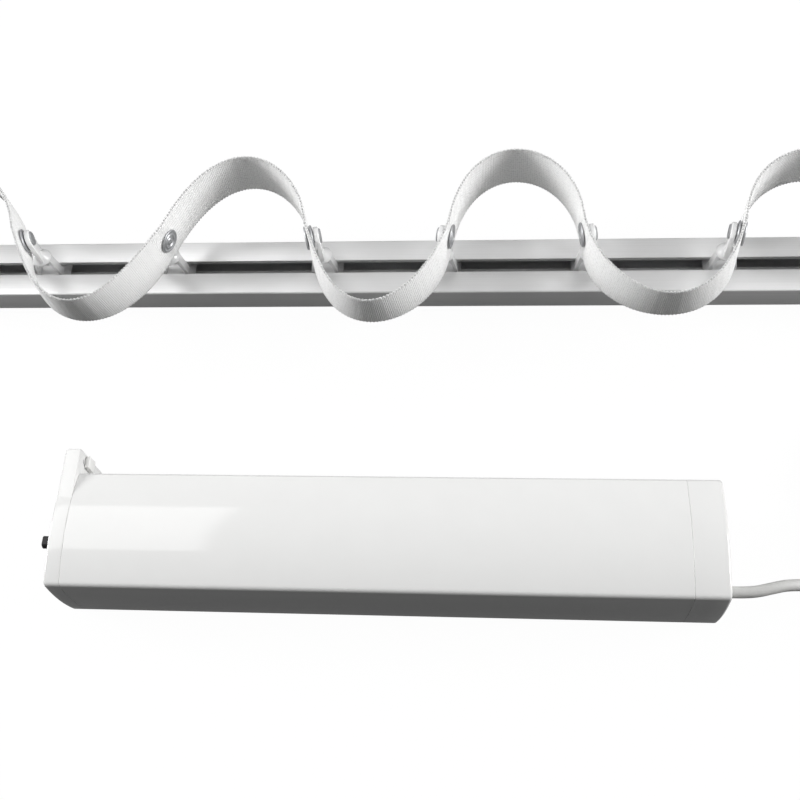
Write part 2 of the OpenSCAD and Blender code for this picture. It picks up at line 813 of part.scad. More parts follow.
module hanger_plate() {
    color("white") difference() {
        translate([0, motor_y, 0]) union() {
            along_x(motor_x, house_x) motor_section(0);
            along_x(motor_x, house_x) reach_section();
        }
        translate([0, motor_y, axis_z]) {
            x_rod(motor_x - eps, house_x + eps, shaft_d / 2 + shaft_step + shaft_gap);
            x_rod(house_x - bearing_w, house_x + eps, bearing_d / 2 + screw_gap);
        }
        translate([motor_x - eps, latch_y - latch_w / 2 - slide_gap,
                   latch_z - latch_h / 2 - latch_travel - slide_gap])
            cube([plate_t + 2 * eps, latch_w + 2 * slide_gap, latch_h + latch_travel + 2 * slide_gap]);
        translate([house_x - slit[0], latch_y - latch_w / 2, latch_z + slit_up - slit[2] / 2])
            cube([slit[0] + eps, slit[1], slit[2]]);
        translate([0, motor_y, 0]) along_x(motor_x - eps, house_x + eps)
            port_places() circle(d = motor_screw_d + 2 * screw_gap);
        translate([0, motor_y, 0]) along_x(motor_x - eps, motor_x + motor_head_h) port_places()
            circle(d = motor_head_d + 2 * screw_gap);
    }
}

// The latch slides in the plate's slot between a lip on each face
module release_latch() {
    lip_gap = slide_gap / 2;
    color("gainsboro") translate([0, latch_y - latch_w / 2, latch_z - latch_h / 2]) {
        translate([motor_x - lip_gap - latch_lip, 0, 0])
            cube([plate_t + 2 * lip_gap + 2 * latch_lip, latch_w, latch_h]);
        for (x = [motor_x - lip_gap - latch_lip, house_x + lip_gap])
            translate([x, -latch_over, 0]) cube([latch_lip, latch_w + 2 * latch_over, latch_h]);
    }
}

module end_cap() {
    color("white") difference() {
        translate([0, motor_y, 0]) difference() {
            along_x(seam_x, motor_end) motor_section(0);
            along_x(seam_x - eps, motor_end - cap_wall) difference() {
                motor_section(motor_wall);
                port_places() circle(d = port_d + port_gap);
            }
            along_x(seam_x - eps, motor_end + eps)
                port_places() circle(d = motor_screw_d + 2 * screw_gap);
            along_x(motor_end - motor_head_h, motor_end + eps)
                port_places() circle(d = motor_head_d + 2 * screw_gap);
        }
        translate([0, button_y, axis_z])
            x_rod(motor_end - cap_wall - eps, motor_end + eps, button_d / 2 + slide_gap / 2);
        translate([0, cord_y, cord_z])
            x_rod(motor_end - gland_in - eps, motor_end + eps, gland_d / 2 + screw_gap);
    }
}

module set_button() {
    color("gainsboro") translate([0, button_y, axis_z]) {
        flange_x = motor_end - cap_wall - slide_gap;
        x_rod(flange_x - button_flange / 2, motor_end + button_out, button_d / 2);
        x_rod(flange_x - button_flange, flange_x, button_d / 2 + button_lip);
    }
}

// Four screws at each end: through the plate, and through the end cap
module motor_screws() {
    color("silver") translate([0, motor_y, 0]) {
        along_x(motor_x + head_sunk, motor_x + motor_head_h) port_places() circle(d = motor_head_d);
        along_x(motor_x + motor_head_h / 2, motor_x + motor_screw_len)
            port_places() circle(d = motor_screw_d);
        along_x(motor_end - motor_head_h, motor_end - head_sunk)
            port_places() circle(d = motor_head_d);
        along_x(seam_x - motor_screw_len / 2, motor_end - motor_head_h / 2)
            port_places() circle(d = motor_screw_d);
    }
}

// Involute gear outline: a flank from the base circle to the tip, thinned by the backlash
function involute(rb, r) = let (a = acos(min(1, rb / r))) tan(a) * 180 / PI - a;
module gear_outline(teeth, add, ded, thin) {
    rp = gear_module * teeth / 2;
    rb = rp * cos(pressure);
    tip = rp + add;
    root = rp - ded;
    half_p = 90 / teeth - thin / 2 / rp * 180 / PI + involute(rb, rp);
    steps = 3;
    low = max(rb, root);
    flank = [for (n = [0 : steps]) let (r = low + (tip - low) * n / steps)
        [r, half_p - involute(rb, r)]];
    profile = concat(root < rb ? [[root, half_p]] : [], flank);
    full = concat([for (q = profile) [q[0], -q[1]]],
                  [for (n = [len(profile) - 1 : -1 : 0]) profile[n]]);
    polygon([for (k = [0 : teeth - 1]) each [for (q = full)
        let (a = 360 * k / teeth + q[1]) [q[0] * cos(a), q[0] * sin(a)]]]);
}

module about_axis() {
    translate([0, motor_y, axis_z]) children();
}

module planet_gear(k) {
    angle = 360 * (k - 1) / planets;
    phase = angle + 180 - 180 / planet_teeth + sun_teeth / planet_teeth * angle;
    color("ivory") about_axis() along_x(gear_x, gear_x + gear_w) rotate(angle) translate([planet_r, 0])
        rotate(phase - angle) difference() {
            gear_outline(planet_teeth, addendum, dedendum, backlash);
            circle(d = planet_pin_d + 2 * run_gap);
        }
}

// The output shaft has a flat on its tip, and carries the planets on a disc with three pins
module output_shaft() {
    tip_x = motor_x - shaft_out;
    color("#202020") about_axis() {
        difference() {
            x_rod(tip_x, tip_x + tip_len + eps, tip_r);
            translate([tip_x - eps, -shaft_d, tip_r - flat_depth])
                cube([tip_len + eps, 2 * shaft_d, shaft_d]);
        }
        x_rod(tip_x + tip_len, carrier_x, shaft_d / 2);
        x_rod(motor_x, carrier_x + carrier_t, shaft_d / 2 + shaft_step);
        x_rod(carrier_x, carrier_x + carrier_t, carrier_r);
        for (k = [0 : planets - 1]) rotate([360 * k / planets, 0, 0]) translate([0, planet_r, 0])
            x_rod(carrier_x, gear_x + gear_w, planet_pin_d / 2);
    }
}

module output_bearing() {
    color("silver") about_axis() difference() {
        x_rod(house_x - bearing_w, house_x, bearing_d / 2);
        x_rod(house_x - bearing_w - eps, house_x + eps, shaft_d / 2 + shaft_step + run_gap);
    }
}

// The gearbox case has the ring gear's teeth inside, and is screwed to the plate
module gearbox_case() {
    color("lightgray") about_axis() {
        along_x(gear_x - gear_gap / 2, can_x) difference() {
            circle(d = can_d);
            rotate(180 / ring_teeth) gear_outline(ring_teeth, dedendum, addendum, -backlash);
        }
        along_x(house_x, gear_x - gear_gap / 2) difference() {
            circle(d = can_d);
            circle(case_bore_r);
        }
    }
}

module motor_can() {
    color("silver") about_axis() difference() {
        union() {
            x_rod(can_x, can_x + can_len, can_d / 2);
            x_rod(can_x + can_len - eps, can_x + can_len + boss_h, boss_d / 2);
        }
        x_rod(can_x + can_wall, can_x + can_len - can_wall, can_d / 2 - can_wall);
        x_rod(can_x - eps, can_x + can_len + boss_h - boss_wall, rotor_shaft_d / 2 + run_gap);
    }
}

// The rotor's shaft ends in the sun gear
module rotor() {
    color("peru") about_axis() {
        x_rod(gear_x + eps, can_x + can_len + boss_h / 2, rotor_shaft_d / 2);
        along_x(gear_x, gear_x + gear_w) gear_outline(sun_teeth, addendum, dedendum, backlash);
        x_rod(can_x + can_wall + rotor_gap, can_x + can_len - can_wall - rotor_gap, rotor_d / 2);
    }
}

module control_board() {
    width = motor_w - 2 * motor_wall - 2 * board_side_gap;
    color("darkgreen") translate([board_x, motor_y, board_z]) {
        translate([0, -width / 2, 0]) cube([board_len, width, board_t]);
        for (x = capacitor_at)
            translate([x, capacitor_y, board_t - eps]) cylinder(h = capacitor_h, d = capacitor_d);
        translate(concat(transformer_at, board_t - eps)) cube(transformer);
        translate(concat(relay_at, board_t - eps)) cube(relay);
        translate(concat(driver_at, board_t - eps)) cube(driver);
    }
}

// Cord, coil, tie and plug

module cord_gland() {
    color("gainsboro") translate([0, cord_y, cord_z]) x_rod(motor_end - gland_in, gland_end, gland_d / 2);
}

module power_cord() {
    color("gainsboro") tube_along(route, cord_d / 2, 10);
}

module cord_coil() {
    color("gainsboro") tube_along(coil_path, cord_d / 2, 6);
}

module coil_tie() {
    color("dimgray") translate([coil_c[0], coil_c[1], 0]) across_y(tie_w) difference() {
        translate([-tie_out - tie_t, tie_low - tie_t])
            square([tie_out - tie_in + 2 * tie_t, tie_high - tie_low + 2 * tie_t]);
        translate([-tie_out, tie_low]) square([tie_out - tie_in, tie_high - tie_low]);
    }
}

module mains_plug() {
    color("white") translate([coil_end[0], coil_end[1], coil_end[2]]) {
        rotate([-90, 0, 0]) cylinder(h = sleeve_len, r1 = sleeve_r0, r2 = sleeve_r1);
        translate([0, sleeve_len, 0]) rotate([-90, 0, 0]) linear_extrude(plug_len) polygon([
            [-plug_w / 2 + plug_c, -plug_h / 2], [plug_w / 2 - plug_c, -plug_h / 2], [plug_w / 2, 0],
            [plug_w / 2 - plug_c, plug_h / 2], [-plug_w / 2 + plug_c, plug_h / 2], [-plug_w / 2, 0]]);
    }
}

module plug_pins() {
    color("gold") for (s = [-1, 1])
        translate([coil_end[0] + s * pin_gap / 2, plug_y + plug_len, coil_end[2]])
            rotate([-90, 0, 0]) cylinder(h = plug_pin_len, d = pin_d);
}

track_rail();
drive_belt();
drive_box();
drive_box_cover();
drive_pulley();
tail_box();
tail_box_cover();
tail_pulley();
box_screws();
end_hook();
end_snap();
master_carrier();
master_pendant();
master_snap();
for (i = [1 : hook_count - 2]) {
    runner(i);
    hook_pendant(i);
    snap(i);
}
for (i = [0 : hook_count - 2]) {
    tape_loop(i);
}
motor_housing();
hanger_plate();
release_latch();
end_cap();
output_shaft();
output_bearing();
for (k = [1 : planets]) {
    planet_gear(k);
}
gearbox_case();
motor_can();
rotor();
control_board();
set_button();
motor_screws();
cord_gland();
power_cord();
cord_coil();
coil_tie();
mains_plug();
plug_pins();
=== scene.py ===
# %% [markdown]
# # Electric curtain track
#
# A slotted rail with snap hooks and a folded heading tape, and the motor that drives it, lie
# side by side on a table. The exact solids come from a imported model, which is loaded first and
# never moved. This lesson dresses it: camera and light, finishes, and then piece by piece the
# shapes that need softer edges or finer detail than the solids have.

# %% Load the frame
import json
import math

import bmesh
import bpy
import numpy as np
from mathutils import Matrix, Vector


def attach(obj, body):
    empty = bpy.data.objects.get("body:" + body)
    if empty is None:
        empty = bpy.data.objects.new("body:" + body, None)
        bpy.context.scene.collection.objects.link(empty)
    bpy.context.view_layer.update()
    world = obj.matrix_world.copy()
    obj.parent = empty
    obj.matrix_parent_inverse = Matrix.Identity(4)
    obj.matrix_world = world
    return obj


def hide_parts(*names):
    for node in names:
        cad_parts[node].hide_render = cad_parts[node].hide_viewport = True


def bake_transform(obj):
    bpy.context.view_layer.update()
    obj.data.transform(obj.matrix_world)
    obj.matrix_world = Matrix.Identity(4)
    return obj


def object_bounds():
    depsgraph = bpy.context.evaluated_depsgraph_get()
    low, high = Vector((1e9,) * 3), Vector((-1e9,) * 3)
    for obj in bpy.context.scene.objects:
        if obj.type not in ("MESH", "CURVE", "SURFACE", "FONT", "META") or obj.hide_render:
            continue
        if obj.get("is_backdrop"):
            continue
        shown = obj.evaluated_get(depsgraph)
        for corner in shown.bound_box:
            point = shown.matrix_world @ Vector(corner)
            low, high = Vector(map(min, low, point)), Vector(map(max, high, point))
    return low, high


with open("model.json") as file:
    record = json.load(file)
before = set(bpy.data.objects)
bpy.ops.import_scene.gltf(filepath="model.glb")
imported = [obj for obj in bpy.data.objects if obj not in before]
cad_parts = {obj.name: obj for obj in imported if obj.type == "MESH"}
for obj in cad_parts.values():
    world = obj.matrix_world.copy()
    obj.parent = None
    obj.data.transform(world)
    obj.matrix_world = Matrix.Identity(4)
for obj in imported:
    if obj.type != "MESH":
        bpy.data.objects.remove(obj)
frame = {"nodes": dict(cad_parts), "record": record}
cad_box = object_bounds()
nodes = frame["nodes"]
slot_of = {part["node"]: part["material_slot"] for part in frame["record"]["subparts"]}
MM = 0.001

# %% [markdown]
# ## Camera
#
# The photo was taken from above and in front, with the camera a little tilted. Its place, its
# three angles and its lens were worked out from edges that are straight or square on the real
# object, so the same numbers are written here. Blender's camera looks along its own -Z.

# %% Camera
camera_place = Vector((61.75, -295.24, 473.65)) * MM
heading, dip, roll = (math.radians(a) for a in (-12.23, 63.40, 10.76))
LENS_MM = 49.53

look = Vector((math.sin(heading) * math.cos(dip), math.cos(heading) * math.cos(dip),
               -math.sin(dip)))
level = Vector((math.cos(heading), -math.sin(heading), 0))
lift = level.cross(look)
right = level * math.cos(roll) - lift * math.sin(roll)
up = level * math.sin(roll) + lift * math.cos(roll)

camera = bpy.data.objects.new("camera", bpy.data.cameras.new("camera"))
camera.data.lens = LENS_MM
camera.data.sensor_width = 36
facing = Matrix((right, up, -look)).transposed().to_4x4()
camera.matrix_world = Matrix.Translation(camera_place) @ facing
bpy.context.scene.collection.objects.link(camera)
bpy.context.scene.camera = camera
print("camera at", [round(v, 3) for v in camera_place])

# %% [markdown]
# ## A first helper for materials
#
# Every finish is a small node tree. One function turns a colour as written in a paint program
# into Blender's linear numbers, and one adds a node with its settings, so that a tree reads as
# a short list.

# %% Colour and node helpers
def linear(code):
    parts = [int(code[k:k + 2], 16) / 255 for k in (1, 3, 5)]
    return [c / 12.92 if c <= 0.04045 else ((c + 0.055) / 1.055) ** 2.4 for c in parts] + [1.0]


def add(tree, kind, values=(), **settings):
    node = tree.nodes.new(kind)
    for name, value in settings.items():
        setattr(node, name, value)
    for name, value in dict(values).items():
        node.inputs[name].default_value = value
    return node


def blank(name):
    made = bpy.data.materials.new(name)
    made.use_nodes = True
    tree = made.node_tree
    return made, tree, tree.nodes["Principled BSDF"], tree.links.new


print("white is", [round(c, 3) for c in linear("#FFFFFF")])

# %% [markdown]
# ## Table and light
#
# The photo's background is plain white, yet little light comes back from it to the sides that
# face the camera. So the floor is a dark matt paper that keeps the soft shadow, and the camera
# sees it as white: Light Path tells the material which rays come from the camera. Reflections
# see a little of that white too. A large softbox hangs above and behind, and is kept out of
# reflections. A smaller one on the left has its mirror image on the motor's top. One far out at
# each side lights the flanks of the tape's folds. The surround is dim.

# %% Floor
def white_to_the_camera(tree, link, seen, plain, share, glossy_share):
    rays = add(tree, "ShaderNodeLightPath")
    soft = add(tree, "ShaderNodeMath", {1: glossy_share}, operation="MULTIPLY")
    sharp = add(tree, "ShaderNodeMath", {1: share}, operation="MULTIPLY")
    most = add(tree, "ShaderNodeMath", operation="MAXIMUM")
    shiny = add(tree, "ShaderNodeMath", operation="MAXIMUM")
    mix = add(tree, "ShaderNodeMixShader")
    link(rays.outputs["Is Camera Ray"], sharp.inputs[0])
    link(rays.outputs["Is Glossy Ray"], shiny.inputs[0])
    link(rays.outputs["Is Transmission Ray"], shiny.inputs[1])
    link(shiny.outputs[0], soft.inputs[0])
    link(sharp.outputs[0], most.inputs[0])
    link(soft.outputs[0], most.inputs[1])
    link(most.outputs[0], mix.inputs[0])
    link(plain, mix.inputs[1])
    link(seen, mix.inputs[2])
    return mix.outputs[0]


paper, tree, shader, link = blank("matt dark table paper")
shader.inputs["Base Color"].default_value = linear("#2A2A2A")
shader.inputs["Roughness"].default_value = 0.9
glow = add(tree, "ShaderNodeEmission", {"Color": linear("#FFFFFF"), "Strength": 1.95})
seen = white_to_the_camera(tree, link, glow.outputs[0], shader.outputs[0],
                           share=0.5, glossy_share=0.085)
link(seen, tree.nodes["Material Output"].inputs["Surface"])

sheet = bpy.data.meshes.new("table")
reach, level_z = 4.0, -0.0002
square = [(-reach, -reach), (reach, -reach), (reach, reach), (-reach, reach)]
sheet.from_pydata([(x, y, level_z) for x, y in square], [], [(0, 1, 2, 3)])
sheet.materials.append(paper)
table = bpy.data.objects.new("table", sheet)
bpy.context.scene.collection.objects.link(table)
table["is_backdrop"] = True
print("floor:", 2 * reach, "m wide")

# %% Surround and lamps
world = bpy.data.worlds.new("studio")
bpy.context.scene.world = world
world.use_nodes = True
tree, link = world.node_tree, world.node_tree.links.new
dim = tree.nodes["Background"]
dim.inputs["Color"].default_value = linear("#F4F6F8")
dim.inputs["Strength"].default_value = 0.05
bright = add(tree, "ShaderNodeBackground", {"Color": linear("#FFFFFF"), "Strength": 1.0})
seen = white_to_the_camera(tree, link, bright.outputs[0], dim.outputs[0],
                           share=1.0, glossy_share=0.9)
link(seen, tree.nodes["World Output"].inputs["Surface"])


def softbox(name, place, target, width, depth, watts):
    lamp = bpy.data.lights.new(name, "AREA")
    lamp.shape, lamp.size, lamp.size_y, lamp.energy = "RECTANGLE", width, depth, watts
    made = bpy.data.objects.new(name, lamp)
    aim = (Vector(target) - Vector(place)).to_track_quat("-Z", "Y")
    made.matrix_world = Matrix.Translation(place) @ aim.to_matrix().to_4x4()
    bpy.context.scene.collection.objects.link(made)
    return made


overhead = softbox("overhead_softbox", (0.35, 0.3, 1.5), (0.1, 0, 0), 1.6, 1.1, 4)
overhead.visible_glossy = False
softbox("window_softbox", (-0.55, 0.155, 0.9), (-0.55, 0.155, 0), 0.5, 0.55, 2.2)
for side, hand in ((-1, "left"), (1, "right")):
    softbox(f"{hand}_softbox", (side * 2.0, 0.12, 0.88), (0, 0, 0.04), 0.9, 0.9, 52)
bpy.context.scene.view_settings.view_transform = "Standard"

# %% [markdown]
# ## Moulded, drawn and turned finishes
#
# Plastic, metal and rubber all vary a little: in tint, in gloss and in height. One noise of the
# right size drives all three. The size is the real one in millimetres, and a stretch along X
# turns the same noise into the fine lines that a die leaves on drawn aluminium.

# %% A varied surface
def surface(name, code, rough, grain, tint=0.03, bump=0.0, metallic=0.0, stretch=(1, 1, 1)):
    made, tree, shader, link = blank(name)
    place = add(tree, "ShaderNodeTexCoord")
    size = add(tree, "ShaderNodeMapping", {"Scale": [1 / (grain * MM * s) for s in stretch]})
    noise = add(tree, "ShaderNodeTexNoise", {"Scale": 1.0, "Detail": 3.0, "Roughness": 0.55})
    shade = add(tree, "ShaderNodeValToRGB")
    gloss = add(tree, "ShaderNodeMapRange", {"To Min": rough * 0.85, "To Max": rough * 1.15})
    relief = add(tree, "ShaderNodeBump", {"Strength": 1.0, "Distance": bump * MM})
    base = linear(code)
    for stop, side in zip(shade.color_ramp.elements, (1 - tint, 1 + tint)):
        stop.color = [min(1.0, c * side) for c in base[:3]] + [1.0]
    shade.color_ramp.elements[0].position, shade.color_ramp.elements[1].position = 0.3, 0.7
    link(place.outputs["Object"], size.inputs["Vector"])
    link(size.outputs["Vector"], noise.inputs["Vector"])
    link(noise.outputs["Fac"], shade.inputs["Fac"])
    link(noise.outputs["Fac"], gloss.inputs["Value"])
    link(noise.outputs["Fac"], relief.inputs["Height"])
    link(shade.outputs["Color"], shader.inputs["Base Color"])
    link(gloss.outputs["Result"], shader.inputs["Roughness"])
    link(relief.outputs["Normal"], shader.inputs["Normal"])
    shader.inputs["Metallic"].default_value = metallic
    return made


finish = {
    # Drawn and satin anodised: die lines along the rail, a few tenths of a millimetre apart
    "rail_aluminium": surface("satin anodised aluminium", "#E0E0E0", 0.42, 0.25, 0.04, 0.004, 0.5,
                              (300, 1, 1)),
    # Gloss injection moulding, with the faint waviness of a polished tool
    "motor_plastic": surface("gloss white moulded plastic", "#E0E0DF", 0.08, 14.0, 0.008, 0.004),
    "hook_plastic": surface("polished white acetal", "#EEEEEE", 0.2, 4.0, 0.01, 0.006),
    # Spark-eroded mould texture: grains of about a third of a millimetre
    "box_plastic": surface("fine textured white plastic", "#D9D9D7", 0.42, 0.35, 0.02, 0.02),
    "pulley_plastic": surface("natural nylon", "#DEDCD2", 0.4, 1.5, 0.03, 0.01),
    "button_plastic": surface("satin grey plastic", "#C9CACB", 0.35, 0.5, 0.03, 0.008),
    "latch_plastic": surface("satin white nylon", "#E6E6E4", 0.4, 0.6, 0.02, 0.01),
    "gear_plastic": surface("ivory acetal", "#E4DFCB", 0.38, 1.0, 0.03, 0.006),
    "plug_plastic": surface("white rubbery plug moulding", "#D0D0CE", 0.45, 0.5, 0.02, 0.015),
    "tie_plastic": surface("grey coated tie", "#77797C", 0.5, 0.3, 0.06, 0.02),
    "belt_rubber": surface("black belt rubber", "#26272A", 0.7, 0.6, 0.12, 0.03),
    "cord_sheath": surface("pale grey cord sheath", "#CDCDCB", 0.42, 1.2, 0.03, 0.012),
    # Pressed and plated: polishing leaves small soft scratches
    "snap_metal": surface("nickel plated snap", "#A6A7A9", 0.42, 0.5, 0.08, 0.006, 0.7),
    "screw_steel": surface("zinc plated steel", "#B7BABD", 0.36, 0.5, 0.1, 0.01, 1.0),
    "shaft_steel": surface("black oxide steel", "#0B0B0C", 0.16, 0.4, 0.2, 0.006, 0.6),
    "bearing_steel": surface("ground bearing steel", "#C3C5C8", 0.2, 0.3, 0.05, 0.003, 1.0),
    "gearbox_metal": surface("die-cast zinc", "#B2B4B5", 0.45, 0.8, 0.08, 0.02, 1.0),
    "can_steel": surface("drawn steel can", "#BBBDBF", 0.28, 0.3, 0.05, 0.005, 1.0, (60, 1, 1)),
    "rotor_copper": surface("lacquered copper winding", "#B3683A", 0.3, 0.25, 0.15, 0.02, 1.0,
                            (8, 1, 1)),
    "board_laminate": surface("green board laminate", "#2F6B43", 0.35, 0.8, 0.1, 0.01),
    "pin_brass": surface("nickel plated brass", "#C2BDB0", 0.25, 0.5, 0.05, 0.004, 1.0),
}
print("finishes:", len(finish))

# %% [markdown]
# ## Woven tape
#
# The heading tape is a ribbed polyester webbing. Its ribs run across it, and fine yarns cross
# them. The pattern follows the tape through its folds, so it reads the tape's own UV map, which
# is laid out along the length and across the width. Light goes a little way into the yarn, which
# subsurface scattering gives.

# %% Tape finish
HOOK_PITCH, FULLNESS = 67, 1.654
TAPE_PITCH = HOOK_PITCH * FULLNESS
TAPE_WIDE = 25.4
YARN_MM = 0.95

webbing, tree, shader, link = blank("ribbed polyester webbing")
place = add(tree, "ShaderNodeUVMap", uv_map="tape")
size = add(tree, "ShaderNodeMapping", {"Scale": (TAPE_PITCH, TAPE_WIDE, 1)})
# At a scale of 1 Blender's wave texture repeats every 2 pi / 20
wave = 2 * math.pi / 20 / YARN_MM
along = add(tree, "ShaderNodeTexWave", {"Scale": wave, "Distortion": 0.6, "Detail": 1.0},
            bands_direction="X")
across = add(tree, "ShaderNodeTexWave", {"Scale": wave / 1.4, "Distortion": 0.9, "Detail": 1.0},
             bands_direction="Y")
cross = add(tree, "ShaderNodeMath", operation="MULTIPLY")
fuzz = add(tree, "ShaderNodeTexNoise", {"Scale": 0.9, "Detail": 3.0})
both = add(tree, "ShaderNodeMath", operation="MULTIPLY_ADD")
shade = add(tree, "ShaderNodeValToRGB")
relief = add(tree, "ShaderNodeBump", {"Strength": 1.0, "Distance": 0.2 * MM})
for stop, at, code in zip(shade.color_ramp.elements, (0.3, 0.7), ("#DADADA", "#FFFFFF")):
    stop.position, stop.color = at, linear(code)
link(place.outputs["UV"], size.inputs["Vector"])
for pattern in (along, across, fuzz):
    link(size.outputs["Vector"], pattern.inputs["Vector"])
link(along.outputs["Fac"], cross.inputs[0])
link(across.outputs["Fac"], cross.inputs[1])
link(cross.outputs[0], both.inputs[0])
both.inputs[1].default_value = 0.7
link(fuzz.outputs["Fac"], both.inputs[2])
link(both.outputs[0], shade.inputs["Fac"])
link(both.outputs[0], relief.inputs["Height"])
link(shade.outputs["Color"], shader.inputs["Base Color"])
link(relief.outputs["Normal"], shader.inputs["Normal"])
shader.inputs["Roughness"].default_value = 0.75
shader.inputs["Subsurface Weight"].default_value = 0.35
shader.inputs["Subsurface Radius"].default_value = (1.0, 1.0, 1.0)
shader.inputs["Subsurface Scale"].default_value = 0.8 * MM
shader.inputs["Sheen Weight"].default_value = 0.15
thin = add(tree, "ShaderNodeBsdfTranslucent", {"Color": linear("#F2F2F0")})
through = add(tree, "ShaderNodeMixShader", {0: 0.2})
link(shader.outputs[0], through.inputs[1])
link(thin.outputs[0], through.inputs[2])
link(through.outputs[0], tree.nodes["Material Output"].inputs["Surface"])
finish["tape_webbing"] = webbing
print("yarn", YARN_MM, "mm on tape of", round(TAPE_PITCH, 1), "x", TAPE_WIDE, "mm")

# %% [markdown]
# ## Finishes on the solids
#
# Solids whose shape is already right keep it, and only take the better finish. The record says
# which finish each one wears.

# %% Dress the solids
for name, solid in nodes.items():
    for seat in solid.material_slots:
        seat.material = finish[slot_of[name]]
print("dressed:", len(nodes))

# %% [markdown]
# ## Shells and pieces
#
# Most pieces here are skins through rings of points: a ring is a closed loop, and neighbouring
# rings are joined by quads. A lathe shape, a rounded block and a motor casing are all such
# skins. Points are written in millimetres, and the last helper makes the mesh in metres, with
# faces outwards and only sharp edges left sharp.

# %% Ring helpers
def skin(rings, closed=False):
    count, rows = len(rings[0]), len(rings)
    faces = []
    for a in range(rows if closed else rows - 1):
        b = (a + 1) % rows
        faces += [(a * count + k, a * count + (k + 1) % count,
                   b * count + (k + 1) % count, b * count + k) for k in range(count)]
    if not closed:
        faces += [tuple(range(count))[::-1], tuple(range((rows - 1) * count, rows * count))]
    return np.vstack(rings), faces


def turned(profile, sides=48):
    """A lathe shape about X: (place along X, radius) from one end to the other."""
    angle = np.linspace(0, 2 * np.pi, sides, endpoint=False)
    rings = [np.c_[np.full(sides, x), r * np.cos(angle), r * np.sin(angle)] for x, r in profile]
    return skin(rings)


def joined(*shells):
    points, faces, base = [], [], 0
    for p, f in shells:
        points.append(p)
        faces += [tuple(base + k for k in face) for face in f]
        base += len(p)
    return np.vstack(points), faces


def upright(shell):
    """The same shell with its X axis turned to Z."""
    return shell[0][:, [1, 2, 0]], shell[1]


def moved(shell, by):
    return shell[0] + np.array(by, float), shell[1]


def quarter_round(start, end, first, last, steps=5):
    """(place, inset) pairs of a block whose ends are rounded by first and last."""
    turn = np.linspace(0, np.pi / 2, steps)
    head = [(start + first * (1 - np.cos(t)), first * (1 - np.sin(t))) for t in turn]
    tail = [(end - last * (1 - np.cos(t)), last * (1 - np.sin(t))) for t in turn[::-1]]
    return head + tail


def piece(name, shell, slot, sharp=35):
    mesh = bpy.data.meshes.new(name)
    mesh.from_pydata((shell[0] * MM).tolist(), [], shell[1])
    work = bmesh.new()
    work.from_mesh(mesh)
    bmesh.ops.remove_doubles(work, verts=work.verts, dist=1e-7)
    bmesh.ops.recalc_face_normals(work, faces=work.faces)
    work.to_mesh(mesh)
    work.free()
    mesh.shade_smooth()
    mesh.set_sharp_from_angle(angle=math.radians(sharp))
    mesh.materials.append(finish[slot])
    made = bpy.data.objects.new(name, mesh)
    bpy.context.scene.collection.objects.link(made)
    return made


def settled(made):
    """Applies an object's modifiers and leaves a plain mesh."""
    graph = bpy.context.evaluated_depsgraph_get()
    mesh = bpy.data.meshes.new_from_object(made.evaluated_get(graph))
    made.modifiers.clear()
    made.data = mesh
    return made


print("a disc has", len(turned([(0, 0), (0, 1), (1, 1), (1, 0)])[1]), "faces before merging")

# %% [markdown]
# ## Power cord
#
# The mains lead leaves the motor's end straight, bends down to the table and goes on out of
# view, where its spare length is wound into a coil of two layers. It is one length of cord, so
# it is one curve with a round section. The points are the ones that the solids were swept along.

# %% Cord route
CORD_D = 5.0
GLAND_Y, GLAND_Z = -161.2, 20
free_stretch = [
    (153.6, GLAND_Y, GLAND_Z), (160, GLAND_Y, GLAND_Z), (166, -160.6, 19.8), (172, -159.1, 19.4),
    (178, -157.6, 18.6), (184, -156.8, 17.2), (190, -156.1, 15.4), (196, -155, 13.2),
    (202, -153.4, 11), (208, -151.4, 8.8), (214, -149.4, 7), (220, -147.7, 5.4),
    (226, -146.4, 4.2), (232, -145.6, 3.6), (238, -145.4, 3.4)]
COIL_TURNS, COIL_R, COIL_STEP, COIL_Z = 7.25, 39.4, 5.45, 3.4
coil_middle = np.array((243.0, -106.0))


def coil_point(t):
    half = COIL_TURNS / 2
    r = COIL_R - COIL_STEP * (half - abs(t - half))
    s = min(1, max(0, (t - half) * 2 + 0.5))
    a = 2 * math.pi * t - math.pi / 2
    return (coil_middle[0] + r * math.cos(a), coil_middle[1] + r * math.sin(a),
            COIL_Z + COIL_STEP * s * s * (3 - 2 * s))


def length_of(path):
    return np.linalg.norm(np.diff(path, axis=0), axis=1).sum()


coil = [coil_point(n / 24) for n in range(int(COIL_TURNS * 24) + 1)]
coil_end = (coil[-1][0], coil[-1][1] + 5, coil[-1][2])
cord_points = np.array(free_stretch + coil + [coil_end])

# %% Cord curve
lead = bpy.data.curves.new("power_lead", "CURVE")
lead.dimensions = "3D"
lead.bevel_depth = CORD_D / 2 * MM
lead.bevel_resolution = 5
lead.resolution_u = 4
lead.use_fill_caps = True
line = lead.splines.new("BEZIER")
line.bezier_points.add(len(cord_points) - 1)
for knot, at in zip(line.bezier_points, cord_points * MM):
    knot.co = at
    knot.handle_left_type = knot.handle_right_type = "AUTO"
lead.materials.append(finish["cord_sheath"])
power_lead = bpy.data.objects.new("power_lead", lead)
bpy.context.scene.collection.objects.link(power_lead)
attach(power_lead, "track")
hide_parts("power_cord", "cord_coil")

# %% [markdown]
# ## What the cord ends in
#
# A flat two-pin plug with a ribbed sleeve is moulded on the far end, a coated tie holds the
# coil, and a bushing takes the cord through the motor's end. The plug's outline is a hexagon
# with rounded corners, drawn in at both ends. The sleeve is a lathe shape whose radius steps
# up and down, because its ribs are rings.

